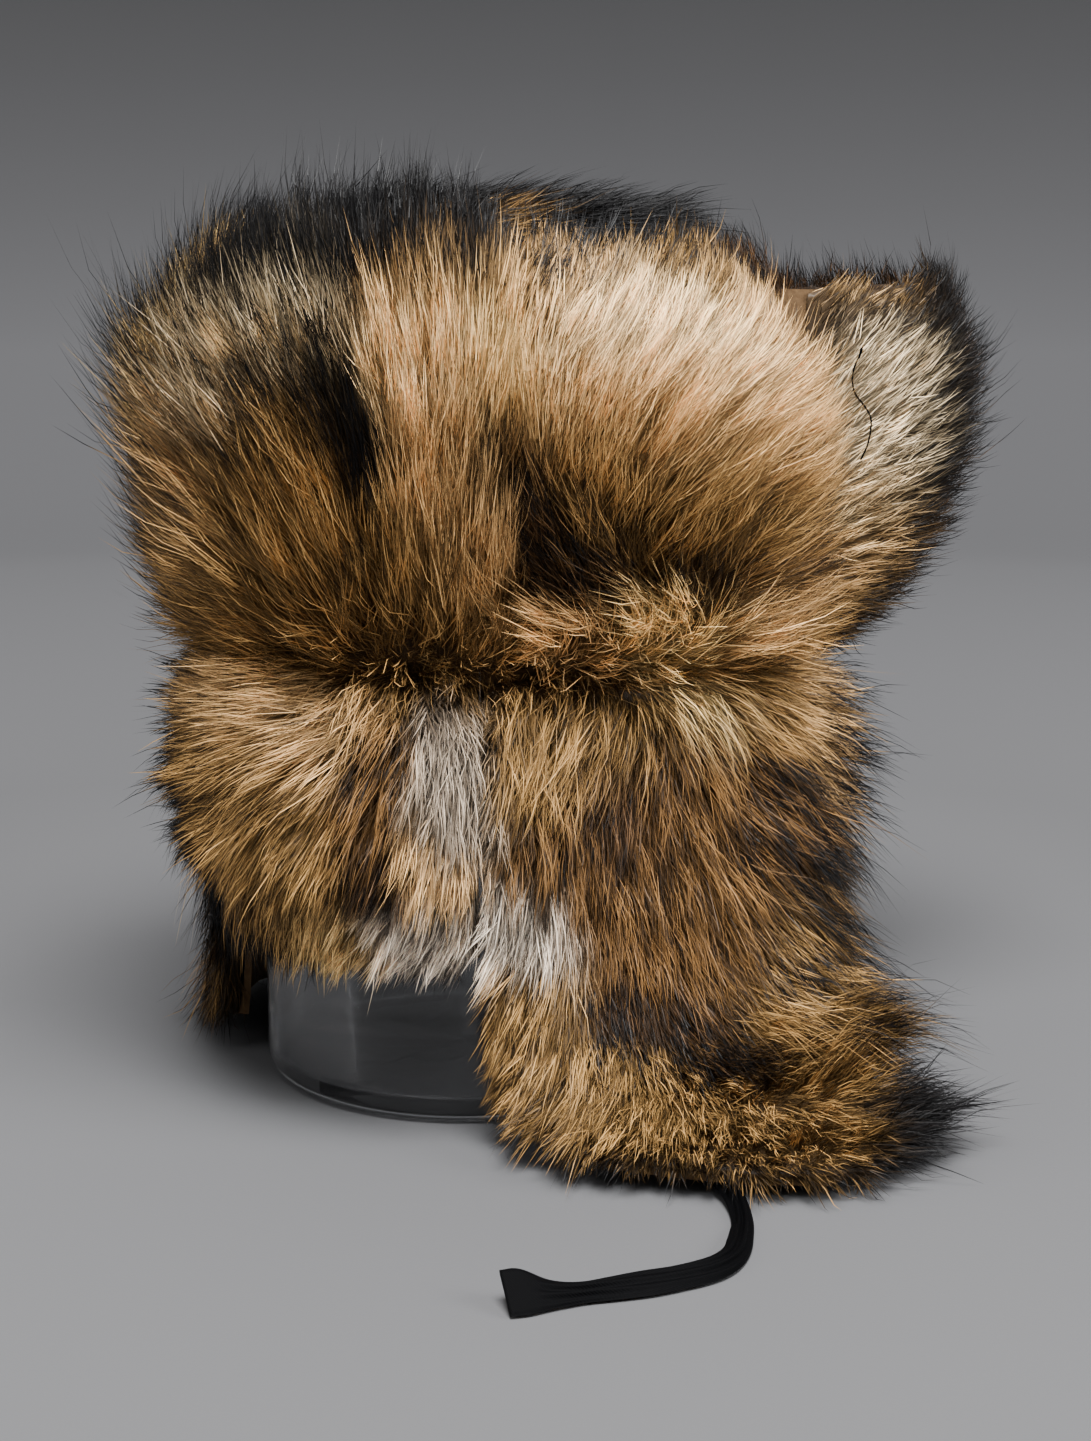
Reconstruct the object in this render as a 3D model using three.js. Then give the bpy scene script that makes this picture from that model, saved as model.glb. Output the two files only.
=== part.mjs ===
// A fur ushanka with its ear flaps down, on a clear cup-shaped stand.
// Millimetres, +Z up, the wearer faces -Y. The origin is the middle of the stand's base.
// Angles run round the hat in degrees: 0 at the nape, 90 at the right ear, 180 at the front.

import * as THREE from 'three';

// Driving sizes of the hat
const HEAD_WIDTH = 164;
const HEAD_LENGTH = 198;
const HIDE = 2.5;
const SEAM_GAP = 0.3;
const FUR_GAP = 0.5;
const BROW_HEIGHT = 152;
const BROW_TILT = 8;
const CROWN_HEIGHT = 138;
const HANG_EASE = 3.5;

// Where the pelts meet, as angles round the hat
const NAPE_EDGE = 44;
const BACK_EDGE = 52;
const VISOR_EDGE = 116.5;
const FRONT_PAD_EDGE = 130;
const FLAP_FRONT_EDGE = 122;
const FLAP_FRONT_EDGE_LOW = 88;
const FLAP_REAR_EDGE_LOW = 47;
const EDGE_GAP_DEG = 0.25;

// Flaps and visor
const NAPE_LENGTH = 96;
const FLAP_FLOOR_CLEARANCE = 3.6;
const FLAP_SPLAY_RIGHT = 96;
const FLAP_SPLAY_LEFT = 34;
const VISOR_HEIGHT = 130;
const VISOR_FLARE = 58;

// Fur
const CROWN_FUR = 33;
const FLAP_FUR = 27;
const FLAP_FUR_WIDTH_SHARE = 1.18;
const VISOR_FUR = 22;
const TOP_FUR = 17;
const CREST_RISE = 19;
const CROWN_COAT_RISE = CROWN_HEIGHT + CREST_RISE;
const LOCK_RELIEF = 6;
const LOCK_WIDTH = 9;
const LOCK_PITCH = 25;
const LOCK_SCATTER = 0.25;
const BORDER_RELIEF = 0.75;
const EDGE_TIP = 17;

// Ties, flat black ribbon
const TIE_WIDTH = 15;
const TIE_THICKNESS = 1.3;
const TIE_FLOOR_GAP = 0.4;
const FUR_FLOOR_GAP = TIE_FLOOR_GAP + TIE_THICKNESS + 2 * SEAM_GAP;

// Stand
const STAND_FOOT_RADIUS = 66;
const STAND_RADIUS = 73;
const STAND_BACK_GAP = 5;
const STAND_SETBACK = HEAD_LENGTH / 2 - STAND_RADIUS - STAND_BACK_GAP;
const STAND_RIM_RADIUS = 68;
const STAND_WALL = 3;
const STAND_FLOOR = 8;
const STAND_SIDES = 48;

const hideMaterial = new THREE.MeshStandardMaterial({ color: 0xb69a78, roughness: 0.9, metalness: 0 });
const furMaterial = new THREE.MeshStandardMaterial({ color: 0x8d6a42, roughness: 0.85, metalness: 0 });
const paleFurMaterial = new THREE.MeshStandardMaterial({ color: 0xb3905f, roughness: 0.85, metalness: 0 });
const darkFurMaterial = new THREE.MeshStandardMaterial({ color: 0x1f1c1d, roughness: 0.8, metalness: 0 });
const ribbonMaterial = new THREE.MeshStandardMaterial({ color: 0x0b0b0e, roughness: 0.75, metalness: 0 });
const acrylicMaterial = new THREE.MeshStandardMaterial({
  color: 0xe8eef0, roughness: 0.08, metalness: 0, transparent: true, opacity: 0.3,
});

const radians = THREE.MathUtils.degToRad;
const clamp = THREE.MathUtils.clamp;

// Reads a table of named columns at a value of its first column, with straight lines between the rows.
function read(table, key, at, column) {
  const last = table.length - 1;
  if (at <= table[0][key]) return table[0][column];
  if (at >= table[last][key]) return table[last][column];
  const next = table.findIndex((row) => row[key] >= at);
  const low = table[next - 1];
  const high = table[next];
  return low[column] + ((at - low[key]) / (high[key] - low[key])) * (high[column] - low[column]);
}

// Distance from the axis to the inside of the crown at the brow, at an angle.
function ovalRadius(angle) {
  const a = radians(angle);
  return Math.hypot((HEAD_WIDTH / 2) * Math.sin(a), (HEAD_LENGTH / 2) * Math.cos(a));
}

// A point at an angle, a distance out from the brow's oval, and a height.
function place(angle, out, height) {
  const a = radians(angle);
  const reach = ovalRadius(angle);
  const grow = (reach + out) / reach;
  return new THREE.Vector3(
    -(HEAD_WIDTH / 2) * Math.sin(a) * grow,
    (HEAD_LENGTH / 2) * Math.cos(a) * grow,
    height,
  );
}

const browHeight = (angle) => BROW_HEIGHT + BROW_TILT * Math.cos(radians(angle));

// The crown's inside, from the brow to the top: rise as a share of its height, reach as a share of the oval.
const CROWN_PROFILE = [
  { rise: 0, reach: 1 },
  { rise: 0.25, reach: 1.035 },
  { rise: 0.5, reach: 1.05 },
  { rise: 0.7, reach: 1.03 },
  { rise: 0.84, reach: 0.97 },
  { rise: 0.93, reach: 0.84 },
  { rise: 0.98, reach: 0.6 },
  { rise: 1, reach: 0.3 },
];

const crownHeightAt = (angle, rise) => {
  const start = browHeight(angle);
  return start + rise * (BROW_HEIGHT + CROWN_HEIGHT - start);
};

const crownPath = (angle) => CROWN_PROFILE.map(({ rise, reach }) => (
  new THREE.Vector2((reach - 1) * ovalRadius(angle), crownHeightAt(angle, rise))
));

function lineLength(points) {
  return points.slice(1).reduce((sum, point, i) => sum + point.distanceTo(points[i]), 0);
}

// A line of points moved sideways by a distance, each along its own normal, but the first one level.
// Positive is outwards for a rising line.
function offsetLine(points, distance) {
  const length = lineLength(points);
  return points.map((point, i) => {
    const before = points[Math.max(i - 1, 0)];
    const after = points[Math.min(i + 1, points.length - 1)];
    const along = after.clone().sub(before).normalize();
    const share = lineLength(points.slice(0, i + 1)) / length;
    const amount = typeof distance === 'function' ? distance(share) : distance;
    if (i === 0) return new THREE.Vector2(point.x + Math.sign(along.y) * amount, point.y);
    return new THREE.Vector2(point.x + along.y * amount, point.y - along.x * amount);
  });
}

// The point and direction at a distance along a line, which runs on straight past its end.
function travel(points, distance) {
  let left = distance;
  for (let i = 0; i < points.length - 1; i += 1) {
    const step = points[i + 1].clone().sub(points[i]);
    const length = step.length();
    if (left <= length || i === points.length - 2) {
      const along = step.divideScalar(length);
      return { at: points[i].clone().addScaledVector(along, left), along };
    }
    left -= length;
  }
  return null;
}

function meshFrom(name, vertices, faces, material) {
  let volume = 0;
  faces.forEach(([a, b, c]) => {
    volume += vertices[a].dot(vertices[b].clone().cross(vertices[c])) / 6;
  });
  const turned = volume < 0 ? faces.map(([a, b, c]) => [a, c, b]) : faces;
  const geometry = new THREE.BufferGeometry();
  const coordinates = vertices.flatMap((v) => [v.x, v.y, v.z]);
  geometry.setAttribute('position', new THREE.Float32BufferAttribute(coordinates, 3));
  geometry.setIndex(turned.flat());
  geometry.computeVertexNormals();
  const mesh = new THREE.Mesh(geometry, material);
  mesh.name = name;
  return mesh;
}

// The triangles of a thin section whose second half runs back beside its first.
function ladder(count) {
  return Array.from({ length: count / 2 - 1 }, (_, k) => [
    [k, k + 1, count - 2 - k],
    [k, count - 2 - k, count - 1 - k],
  ]).flat();
}

// Joins closed sections of equally many points, and closes both ends.
// Each section holds flat points and their places.
function loft(name, sections, material, thin = false) {
  const count = sections[0].flat.length;
  const vertices = sections.flatMap((section) => section.flat.map((point) => section.toSpace(point)));
  const faces = [];
  for (let s = 0; s < sections.length - 1; s += 1) {
    for (let k = 0; k < count; k += 1) {
      const a = s * count + k;
      const b = s * count + ((k + 1) % count);
      faces.push([a, b, b + count], [a, b + count, a + count]);
    }
  }
  const closeEnd = (index, flip) => {
    const { flat } = sections[index];
    const triangles = thin ? ladder(count) : THREE.ShapeUtils.triangulateShape(flat, []);
    triangles.forEach((corners) => {
      const [a, b, c] = corners;
      const clockwise = THREE.ShapeUtils.isClockWise(corners.map((k) => flat[k]));
      const ring = (clockwise ? [a, c, b] : [a, b, c]).map((k) => index * count + k);
      faces.push(flip ? ring.reverse() : ring);
    });
  };
  const clockwise = THREE.ShapeUtils.isClockWise(sections[0].flat);
  closeEnd(0, !clockwise);
  closeEnd(sections.length - 1, clockwise);
  return meshFrom(name, vertices, faces, material);
}

// A closed skin from two stacks of rings, each stack ending in one top point, joined along their first rings.
function domeSkin(name, outerRings, outerTop, innerRings, innerTop, material) {
  const sides = outerRings[0].length;
  const rings = [...innerRings.slice().reverse(), ...outerRings];
  const vertices = [innerTop, ...rings.flat(), outerTop];
  const faces = [];
  const at = (ring, k) => 1 + ring * sides + (k % sides);
  for (let k = 0; k < sides; k += 1) {
    faces.push([0, at(0, k + 1), at(0, k)]);
    for (let ring = 0; ring < rings.length - 1; ring += 1) {
      faces.push([at(ring, k), at(ring, k + 1), at(ring + 1, k + 1)]);
      faces.push([at(ring, k), at(ring + 1, k + 1), at(ring + 1, k)]);
    }
    faces.push([at(rings.length - 1, k), at(rings.length - 1, k + 1), vertices.length - 1]);
  }
  return meshFrom(name, vertices, faces, material);
}

// The same line with its corners cut twice over.
function soften(points) {
  const cut = (line) => [
    line[0],
    ...line.slice(1).flatMap((point, i) => [0.25, 0.75].map((share) => line[i].clone().lerp(point, share))),
    line.at(-1),
  ];
  return cut(cut(points));
}

// A steady number from 0 to 1 for a lock, so that locks differ from each other in the same way each time.
const lockChance = (column, row) => Math.abs(Math.sin(column * 12.9898 + row * 78.233) * 43758.5453) % 1;

// One column of a coat: along the back of the pad, round the free tip, and back over rows of overlapping locks.
function coatSection(inner, outerLine, column, rows, edgeTip, relief, tipTuck) {
  const outer = soften(outerLine);
  const length = lineLength(outer);
  const pitch = length / rows;
  const lockPoint = (distance, lift) => {
    const { at, along } = travel(outer, distance);
    return new THREE.Vector2(at.x + along.y * lift, at.y - along.x * lift);
  };
  const points = [...inner];
  const crestAt = (row) => (column + row) % 2 === 0;
  const chance = lockChance(column, rows) - 0.5;
  const shift = LOCK_SCATTER * (lockChance(column, 0.5) - 0.5);
  const reach = edgeTip * (crestAt(rows - 1) ? 1 + 0.5 * chance : 0.3);
  const tuck = outer.at(-1).distanceTo(inner.at(-1)) - relief / 2;
  points.push(lockPoint(length + reach, -tuck * tipTuck));
  for (let row = rows - 1; row > 0; row -= 1) {
    const crest = crestAt(row - 1);
    const root = row + shift;
    const tip = root + (crest ? 0.3 : -0.12);
    points.push(lockPoint(root * pitch, -relief));
    points.push(lockPoint(tip * pitch, crest ? relief / 3 : -relief / 2));
  }
  points.push(lockPoint(0, -relief));
  return points;
}

const rowsFor = (outer) => Math.max(2, Math.round(lineLength(outer) / LOCK_PITCH));

const columnsFor = (fromAngle, toAngle) => {
  const span = radians(toAngle - fromAngle) * (HEAD_LENGTH / 2 + CROWN_FUR);
  return Math.max(4, 2 * Math.round(span / (2 * LOCK_WIDTH)));
};

// The hide of the crown: an open-bottomed shell.
function crownShell() {
  const sides = 36;
  const ringsOf = (thickness) => CROWN_PROFILE.map((row, i) => (
    Array.from({ length: sides }, (_, k) => {
      const angle = (360 * k) / sides;
      const point = offsetLine(crownPath(angle), thickness)[i];
      const level = i === 0 ? browHeight(angle) : point.y;
      return place(angle, point.x, level);
    })
  ));
  const top = BROW_HEIGHT + CROWN_HEIGHT;
  return domeSkin(
    'crown_shell',
    ringsOf(HIDE),
    new THREE.Vector3(0, 0, top + HIDE),
    ringsOf(0),
    new THREE.Vector3(0, 0, top),
    hideMaterial,
  );
}

// The coat of the crown's side, from the brow up: how far it stands out and how high, as shares.
const CROWN_COAT = [
  { rise: 0, out: 0.9 },
  { rise: 0.06, out: 1 },
  { rise: 0.25, out: 1.04 },
  { rise: 0.5, out: 1.2 },
  { rise: 0.7, out: 1.26 },
  { rise: 0.87, out: 1.06 },
  { rise: 1, out: 0.6 },
];
// How high the coat's tips stand round the crown, as shares of its full rise.
// The nape's right side stands tallest.
const CROWN_CREST = [
  { angle: -120, rise: 0.77 },
  { angle: -48, rise: 0.8 },
  { angle: -28, rise: 0.9 },
  { angle: 0, rise: 0.96 },
  { angle: 16, rise: 1 },
  { angle: 40, rise: 1 },
  { angle: 52, rise: 0.86 },
  { angle: 64, rise: 0.8 },
  { angle: 120, rise: 0.78 },
];
const TOP_BORDER_ROW = 5;
// Each pelt sinks towards its borders, where the folds between pelts lie.
const PELT_ROUND = [
  { across: 0, depth: 0.72 },
  { across: 0.12, depth: 0.94 },
  { across: 0.5, depth: 1.02 },
  { across: 0.86, depth: 0.94 },
  { across: 1, depth: 0.7 },
];
const CROWN_SIDE = [new THREE.Vector2(0, 0), new THREE.Vector2(0, CROWN_COAT_RISE)];

function crownCoat(name, fromAngle, toAngle, material) {
  const count = columnsFor(fromAngle, toAngle);
  const sections = [];
  for (let column = 0; column <= count; column += 1) {
    const angle = fromAngle + EDGE_GAP_DEG + ((toAngle - fromAngle - 2 * EDGE_GAP_DEG) * column) / count;
    const depth = (CROWN_FUR - LOCK_RELIEF) * read(PELT_ROUND, 'across', column / count, 'depth');
    const shell = offsetLine(crownPath(angle), HIDE + SEAM_GAP).slice(0, TOP_BORDER_ROW + 1);
    shell[0].y = browHeight(angle) + SEAM_GAP / 2;
    const border = shell[TOP_BORDER_ROW];
    const top = BROW_HEIGHT + CROWN_COAT_RISE * read(CROWN_CREST, 'angle', angle, 'rise');
    const inner = [...shell, new THREE.Vector2(border.x, border.y + TOP_FUR * 0.8)];
    const outer = CROWN_COAT.map(({ rise, out }) => new THREE.Vector2(
      HIDE + LOCK_RELIEF + out * depth,
      browHeight(angle) + SEAM_GAP / 2 + rise * (top - browHeight(angle)),
    ));
    const flat = coatSection(inner, outer, column, rowsFor(CROWN_SIDE), EDGE_TIP * 0.8, LOCK_RELIEF, 0.3);
    sections.push({ flat, toSpace: (p) => place(angle, p.x, p.y) });
  }
  return loft(name, sections, material);
}

// The fur on top of the crown, inside the ring of side pelts.
function crownTopFur() {
  const sides = 36;
  const inset = 0.06;
  const underside = (angle) => {
    const line = offsetLine(crownPath(angle), HIDE + 2 * SEAM_GAP).slice(TOP_BORDER_ROW);
    line[0].lerp(line[1], inset);
    return line;
  };
  const ringOf = (pointAt) => Array.from({ length: sides }, (_, k) => {
    const angle = (360 * k) / sides;
    const { x, y } = pointAt(underside(angle), angle, k);
    return place(angle, x, y);
  });
  const top = BROW_HEIGHT + CROWN_HEIGHT + HIDE;
  const tufted = (share, rise, ring) => ringOf((line, angle, k) => new THREE.Vector2(
    (ovalRadius(angle) + line[0].x) * share - ovalRadius(angle),
    top + rise * TOP_FUR + LOCK_RELIEF * (lockChance(k % sides, ring) - 0.5) * 1.6,
  ));
  return domeSkin(
    'crown_fur_top',
    [tufted(1, 0.5, 0), tufted(0.8, 0.95, 1), tufted(0.55, 0.9, 0), tufted(0.28, 1, 1)],
    new THREE.Vector3(0, 0, top + TOP_FUR),
    [ringOf((line) => line[0]), ringOf((line) => line[1]), ringOf((line) => line[2])],
    new THREE.Vector3(0, 0, top + 2 * SEAM_GAP),
    darkFurMaterial,
  );
}

// A flap's hide follows a line in each upright plane through the hat's axis, from the brow to its free edge.
function flapSection(angleOf, line, thickness) {
  const points = [...offsetLine(line, thickness), ...line.slice().reverse()];
  return { flat: points, toSpace: (p) => place(angleOf(p.y), p.x, p.y) };
}

function flapHide(name, across, lineOf, angleAt) {
  const sections = [];
  for (let column = 0; column <= across; column += 1) {
    const share = column / across;
    sections.push(flapSection((height) => angleAt(share, height), lineOf(share), -HIDE));
  }
  return loft(name, sections, hideMaterial, true);
}

function flapFur(name, count, lineOf, angleAt, coat, depth, material, rising = false) {
  const side = rising ? 1 : -1;
  const rows = rowsFor(lineOf(0.5));
  const sections = [];
  for (let column = 0; column <= count; column += 1) {
    const share = column / count;
    const line = lineOf(share);
    const skin = HIDE + FUR_GAP;
    const inner = offsetLine(line, side * skin);
    const fullness = read(coat.round, 'across', share, 'depth');
    const outer = offsetLine(line, (along) => (
      side * (skin + depth * fullness * read(coat.rows, 'along', along, 'depth'))
    ));
    const locks = rising ? coatSection : fallingLocks;
    const border = column === 0 || column === count;
    const relief = LOCK_RELIEF * coat.relief * Math.min(fullness, 1) * (border ? BORDER_RELIEF : 1);
    const flat = locks(inner, outer, column, rows, EDGE_TIP * coat.tip, relief, coat.tipTuck);
    const toSpace = (p) => place(angleAt(share, p.y), p.x, Math.max(p.y, FUR_FLOOR_GAP));
    sections.push({ flat, toSpace });
  }
  return loft(name, sections, material);
}

// The same rows of locks for a line that falls: it is turned over, given its locks and turned back.
function fallingLocks(inner, outer, ...locks) {
  const turn = (p) => new THREE.Vector2(p.x, -p.y);
  return coatSection(inner.map(turn), outer.map(turn), ...locks).map(turn);
}

// The nape flap hangs straight and eases out a little, as a share of its ease, but draws in at its lower edge.
const NAPE_HANG = [
  { drop: 0, ease: 0 },
  { drop: 0.35, ease: 0.86 },
  { drop: 0.7, ease: 1 },
  { drop: 1, ease: 0.14 },
];
const NAPE_COAT = {
  tip: 1,
  relief: 1,
  tipTuck: 0.7,
  round: [
    { across: 0, depth: 0.72 },
    { across: 0.14, depth: 1 },
    { across: 0.86, depth: 1 },
    { across: 1, depth: 0.8 },
  ],
  rows: [
    { along: 0, depth: 0.92 },
    { along: 0.14, depth: 1 },
    { along: 0.6, depth: 1.02 },
    { along: 0.85, depth: 0.78 },
    { along: 1, depth: 0.6 },
  ],
};

const napeLine = (angle) => NAPE_HANG.map(({ drop, ease }) => new THREE.Vector2(
  ease * HANG_EASE,
  browHeight(angle) - SEAM_GAP / 2 - drop * NAPE_LENGTH,
));

function napeParts() {
  const angleAt = (share) => NAPE_EDGE * (2 * share - 1) * (1 - EDGE_GAP_DEG / NAPE_EDGE);
  const lineOf = (share) => napeLine(angleAt(share));
  const columns = columnsFor(-NAPE_EDGE, NAPE_EDGE);
  return [
    flapHide('nape_hide', columns, lineOf, angleAt),
    flapFur('nape_fur', columns, lineOf, angleAt, NAPE_COAT, FLAP_FUR, furMaterial),
  ];
}

// An ear flap hangs to the floor, and its lower part turns out over it, further towards the front edge.
// The ease and the splay are shares of their named sizes.
const FLAP_HANG = [
  { drop: 0, ease: 0, splay: 0 },
  { drop: 0.25, ease: 0.6, splay: 0 },
  { drop: 0.48, ease: 0.86, splay: 0.015 },
  { drop: 0.62, ease: 0.86, splay: 0.07 },
  { drop: 0.75, ease: 0.86, splay: 0.18 },
  { drop: 0.86, ease: 0.86, splay: 0.36 },
  { drop: 0.94, ease: 0.86, splay: 0.62 },
  { drop: 1, ease: 0.86, splay: 1 },
];
const FLAP_COAT = {
  tip: 1.4,
  relief: 0.75,
  tipTuck: 0.85,
  round: [
    { across: 0, depth: 0.62 },
    { across: 0.14, depth: 0.86 },
    { across: 0.4, depth: 1.05 },
    { across: 0.85, depth: 1.4 },
    { across: 1, depth: 0.8 },
  ],
  rows: [
    { along: 0, depth: 0.92 },
    { along: 0.12, depth: 1 },
    { along: 0.42, depth: 0.98 },
    { along: 0.58, depth: 0.72 },
    { along: 0.72, depth: 0.8 },
    { along: 0.85, depth: 0.75 },
    { along: 1, depth: 0.6 },
  ],
};
// Across the flap from its rear edge: how much of the splay it takes, and its lift as a share of a tip.
const FLAP_SPLAY_ACROSS = [
  { across: 0, splay: 0.08, lift: 0.6 },
  { across: 0.35, splay: 0.55, lift: 0.1 },
  { across: 0.8, splay: 1, lift: 0 },
  { across: 1, splay: 0.96, lift: 0 },
];

function earParts(side, mirror, splay) {
  const floorLevel = FLAP_FLOOR_CLEARANCE;
  const edgeAt = (height, high, low) => {
    const drop = clamp((BROW_HEIGHT - height) / (BROW_HEIGHT - floorLevel), 0, 1);
    return high + (low - high) * drop ** 1.6;
  };
  const columns = columnsFor(NAPE_EDGE, FLAP_FRONT_EDGE);
  const angleAt = (share, height) => {
    const rear = edgeAt(height, NAPE_EDGE + EDGE_GAP_DEG, FLAP_REAR_EDGE_LOW);
    return mirror * (rear + (edgeAt(height, FLAP_FRONT_EDGE, FLAP_FRONT_EDGE_LOW) - rear) * share);
  };
  const lineOf = (share) => {
    const start = browHeight(angleAt(share, BROW_HEIGHT)) - SEAM_GAP / 2;
    const across = read(FLAP_SPLAY_ACROSS, 'across', share, 'splay');
    const low = floorLevel + EDGE_TIP * read(FLAP_SPLAY_ACROSS, 'across', share, 'lift');
    return FLAP_HANG.map((row) => new THREE.Vector2(
      row.ease * HANG_EASE + row.splay * splay * across,
      start + (low - start) * row.drop,
    ));
  };
  // The fur is wider than its hide, and reaches forward past the hide's front edge.
  const furLineOf = (share) => lineOf(share * FLAP_FUR_WIDTH_SHARE);
  const furAngleAt = (share, height) => angleAt(share * FLAP_FUR_WIDTH_SHARE, height);
  return [
    flapHide(`ear_hide_${side}`, columns, lineOf, angleAt),
    flapFur(`ear_fur_${side}`, columns, furLineOf, furAngleAt, FLAP_COAT, FLAP_FUR, furMaterial),
  ];
}

// The visor stands up from the brow. Its corners flare out more than its middle, as shares of the flare.
const VISOR_PLAN = [
  { turn: 0, flare: 0.06 },
  { turn: 0.08, flare: 0.4 },
  { turn: 0.17, flare: 0.8 },
  { turn: 0.29, flare: 1 },
  { turn: 0.45, flare: 0.92 },
  { turn: 0.7, flare: 0.66 },
  { turn: 1, flare: 0.56 },
];
const VISOR_LEAN = [
  { rise: 0, lean: 0 },
  { rise: 0.08, lean: 0.2 },
  { rise: 0.2, lean: 0.52 },
  { rise: 0.4, lean: 0.8 },
  { rise: 0.68, lean: 1 },
  { rise: 0.88, lean: 1 },
  { rise: 1, lean: 0.94 },
];
const VISOR_COAT = {
  tip: 1,
  relief: 0.85,
  tipTuck: 0.5,
  round: [
    { across: 0, depth: 0.8 },
    { across: 0.14, depth: 1 },
    { across: 0.86, depth: 1 },
    { across: 1, depth: 0.8 },
  ],
  rows: [
    { along: 0, depth: 0.9 },
    { along: 0.15, depth: 1 },
    { along: 0.8, depth: 1 },
    { along: 1, depth: 0.8 },
  ],
};

const visorAngle = (share) => VISOR_EDGE + EDGE_GAP_DEG + (360 - 2 * (VISOR_EDGE + EDGE_GAP_DEG)) * share;
const visorFlare = (angle) => {
  const turn = 1 - Math.abs(angle - 180) / (180 - VISOR_EDGE);
  return VISOR_FLARE * read(VISOR_PLAN, 'turn', turn, 'flare');
};
const widestReach = Math.max(...CROWN_PROFILE.map((row) => row.reach));

// How far the crown's hide bulges out at a rise, held at its widest above that.
const crownBulge = (angle, rise) => {
  const widestRise = CROWN_PROFILE.find((row) => row.reach === widestReach).rise;
  return (read(CROWN_PROFILE, 'rise', Math.min(rise, widestRise), 'reach') - 1) * ovalRadius(angle);
};

function visorParts() {
  const lineOf = (share) => {
    const angle = visorAngle(share);
    const start = browHeight(angle) + SEAM_GAP / 2;
    return VISOR_LEAN.map(({ rise, lean }) => new THREE.Vector2(
      HIDE + 3 * SEAM_GAP + crownBulge(angle, (rise * VISOR_HEIGHT) / CROWN_HEIGHT) + lean * visorFlare(angle),
      start + rise * VISOR_HEIGHT,
    ));
  };
  const angleAt = (share) => visorAngle(share);
  const columns = 2 * columnsFor(VISOR_EDGE, 180);
  const hideSections = [];
  for (let column = 0; column <= columns; column += 1) {
    const share = column / columns;
    hideSections.push(flapSection(() => angleAt(share), lineOf(share), HIDE));
  }
  return [
    loft('visor_hide', hideSections, hideMaterial, true),
    flapFur('visor_fur', columns, lineOf, angleAt, VISOR_COAT, VISOR_FUR, darkFurMaterial, true),
  ];
}

// The short fur on the crown's front, in the gap behind the visor.
function crownFrontFur() {
  const firstRise = 0.5;
  const depthShare = 0.5;
  const span = 2 * (180 - FRONT_PAD_EDGE);
  const count = columnsFor(FRONT_PAD_EDGE, 360 - FRONT_PAD_EDGE);
  const sections = [];
  for (let column = 0; column <= count; column += 1) {
    const angle = FRONT_PAD_EDGE + (span * column) / count;
    const shell = offsetLine(crownPath(angle), HIDE + SEAM_GAP);
    const rows = CROWN_PROFILE
      .map((row, i) => ({ ...row, i }))
      .filter((row) => row.rise >= firstRise && row.i <= TOP_BORDER_ROW);
    const inner = rows.map((row) => shell[row.i]);
    const depthAt = (rise) => depthShare * visorFlare(angle) * read(VISOR_LEAN, 'rise', rise, 'lean');
    const outer = rows.slice(0, -1).map((row) => {
      const crest = (column + row.i) % 2 ? 1 : 0.75;
      return new THREE.Vector2(shell[row.i].x + depthAt(row.rise) * crest, shell[row.i].y);
    });
    const tipRise = TOP_FUR * (column % 2 ? 0.8 : 0.4);
    const tip = new THREE.Vector2(inner.at(-1).x + LOCK_RELIEF, BROW_HEIGHT + CROWN_HEIGHT + tipRise);
    sections.push({ flat: [...inner, tip, ...outer.reverse()], toSpace: (p) => place(angle, p.x, p.y) });
  }
  return loft('crown_fur_front', sections, darkFurMaterial);
}

// A flat ribbon through a list of chosen points. At each, its inner edge lifts by the lean, in degrees.
function ribbon(name, route) {
  const half = TIE_WIDTH / 2;
  const places = route.map((p) => new THREE.Vector3(p.x, p.y, 0));
  const sections = route.map((p, i) => {
    const before = places[Math.max(i - 1, 0)];
    const after = places[Math.min(i + 1, places.length - 1)];
    const along = after.clone().sub(before).normalize();
    const across = new THREE.Vector3(-along.y, along.x, 0);
    const lean = radians(p.lean);
    const width = across.clone().multiplyScalar(Math.cos(lean)).add(new THREE.Vector3(0, 0, -Math.sin(lean)));
    const face = across.clone().multiplyScalar(Math.sin(lean)).add(new THREE.Vector3(0, 0, Math.cos(lean)));
    const middle = places[i].clone().setZ(
      TIE_FLOOR_GAP + p.rise + Math.sin(lean) * half * p.width + (TIE_THICKNESS / 2) * Math.cos(lean),
    );
    const corners = [[-1, -1], [1, -1], [1, 1], [-1, 1]];
    const flat = corners.map(([w, t]) => new THREE.Vector2(w * half * p.width, (t * TIE_THICKNESS) / 2));
    const toSpace = (q) => middle.clone().addScaledVector(width, q.x).addScaledVector(face, q.y);
    return { flat, toSpace };
  });
  return loft(name, sections, ribbonMaterial);
}

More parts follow.
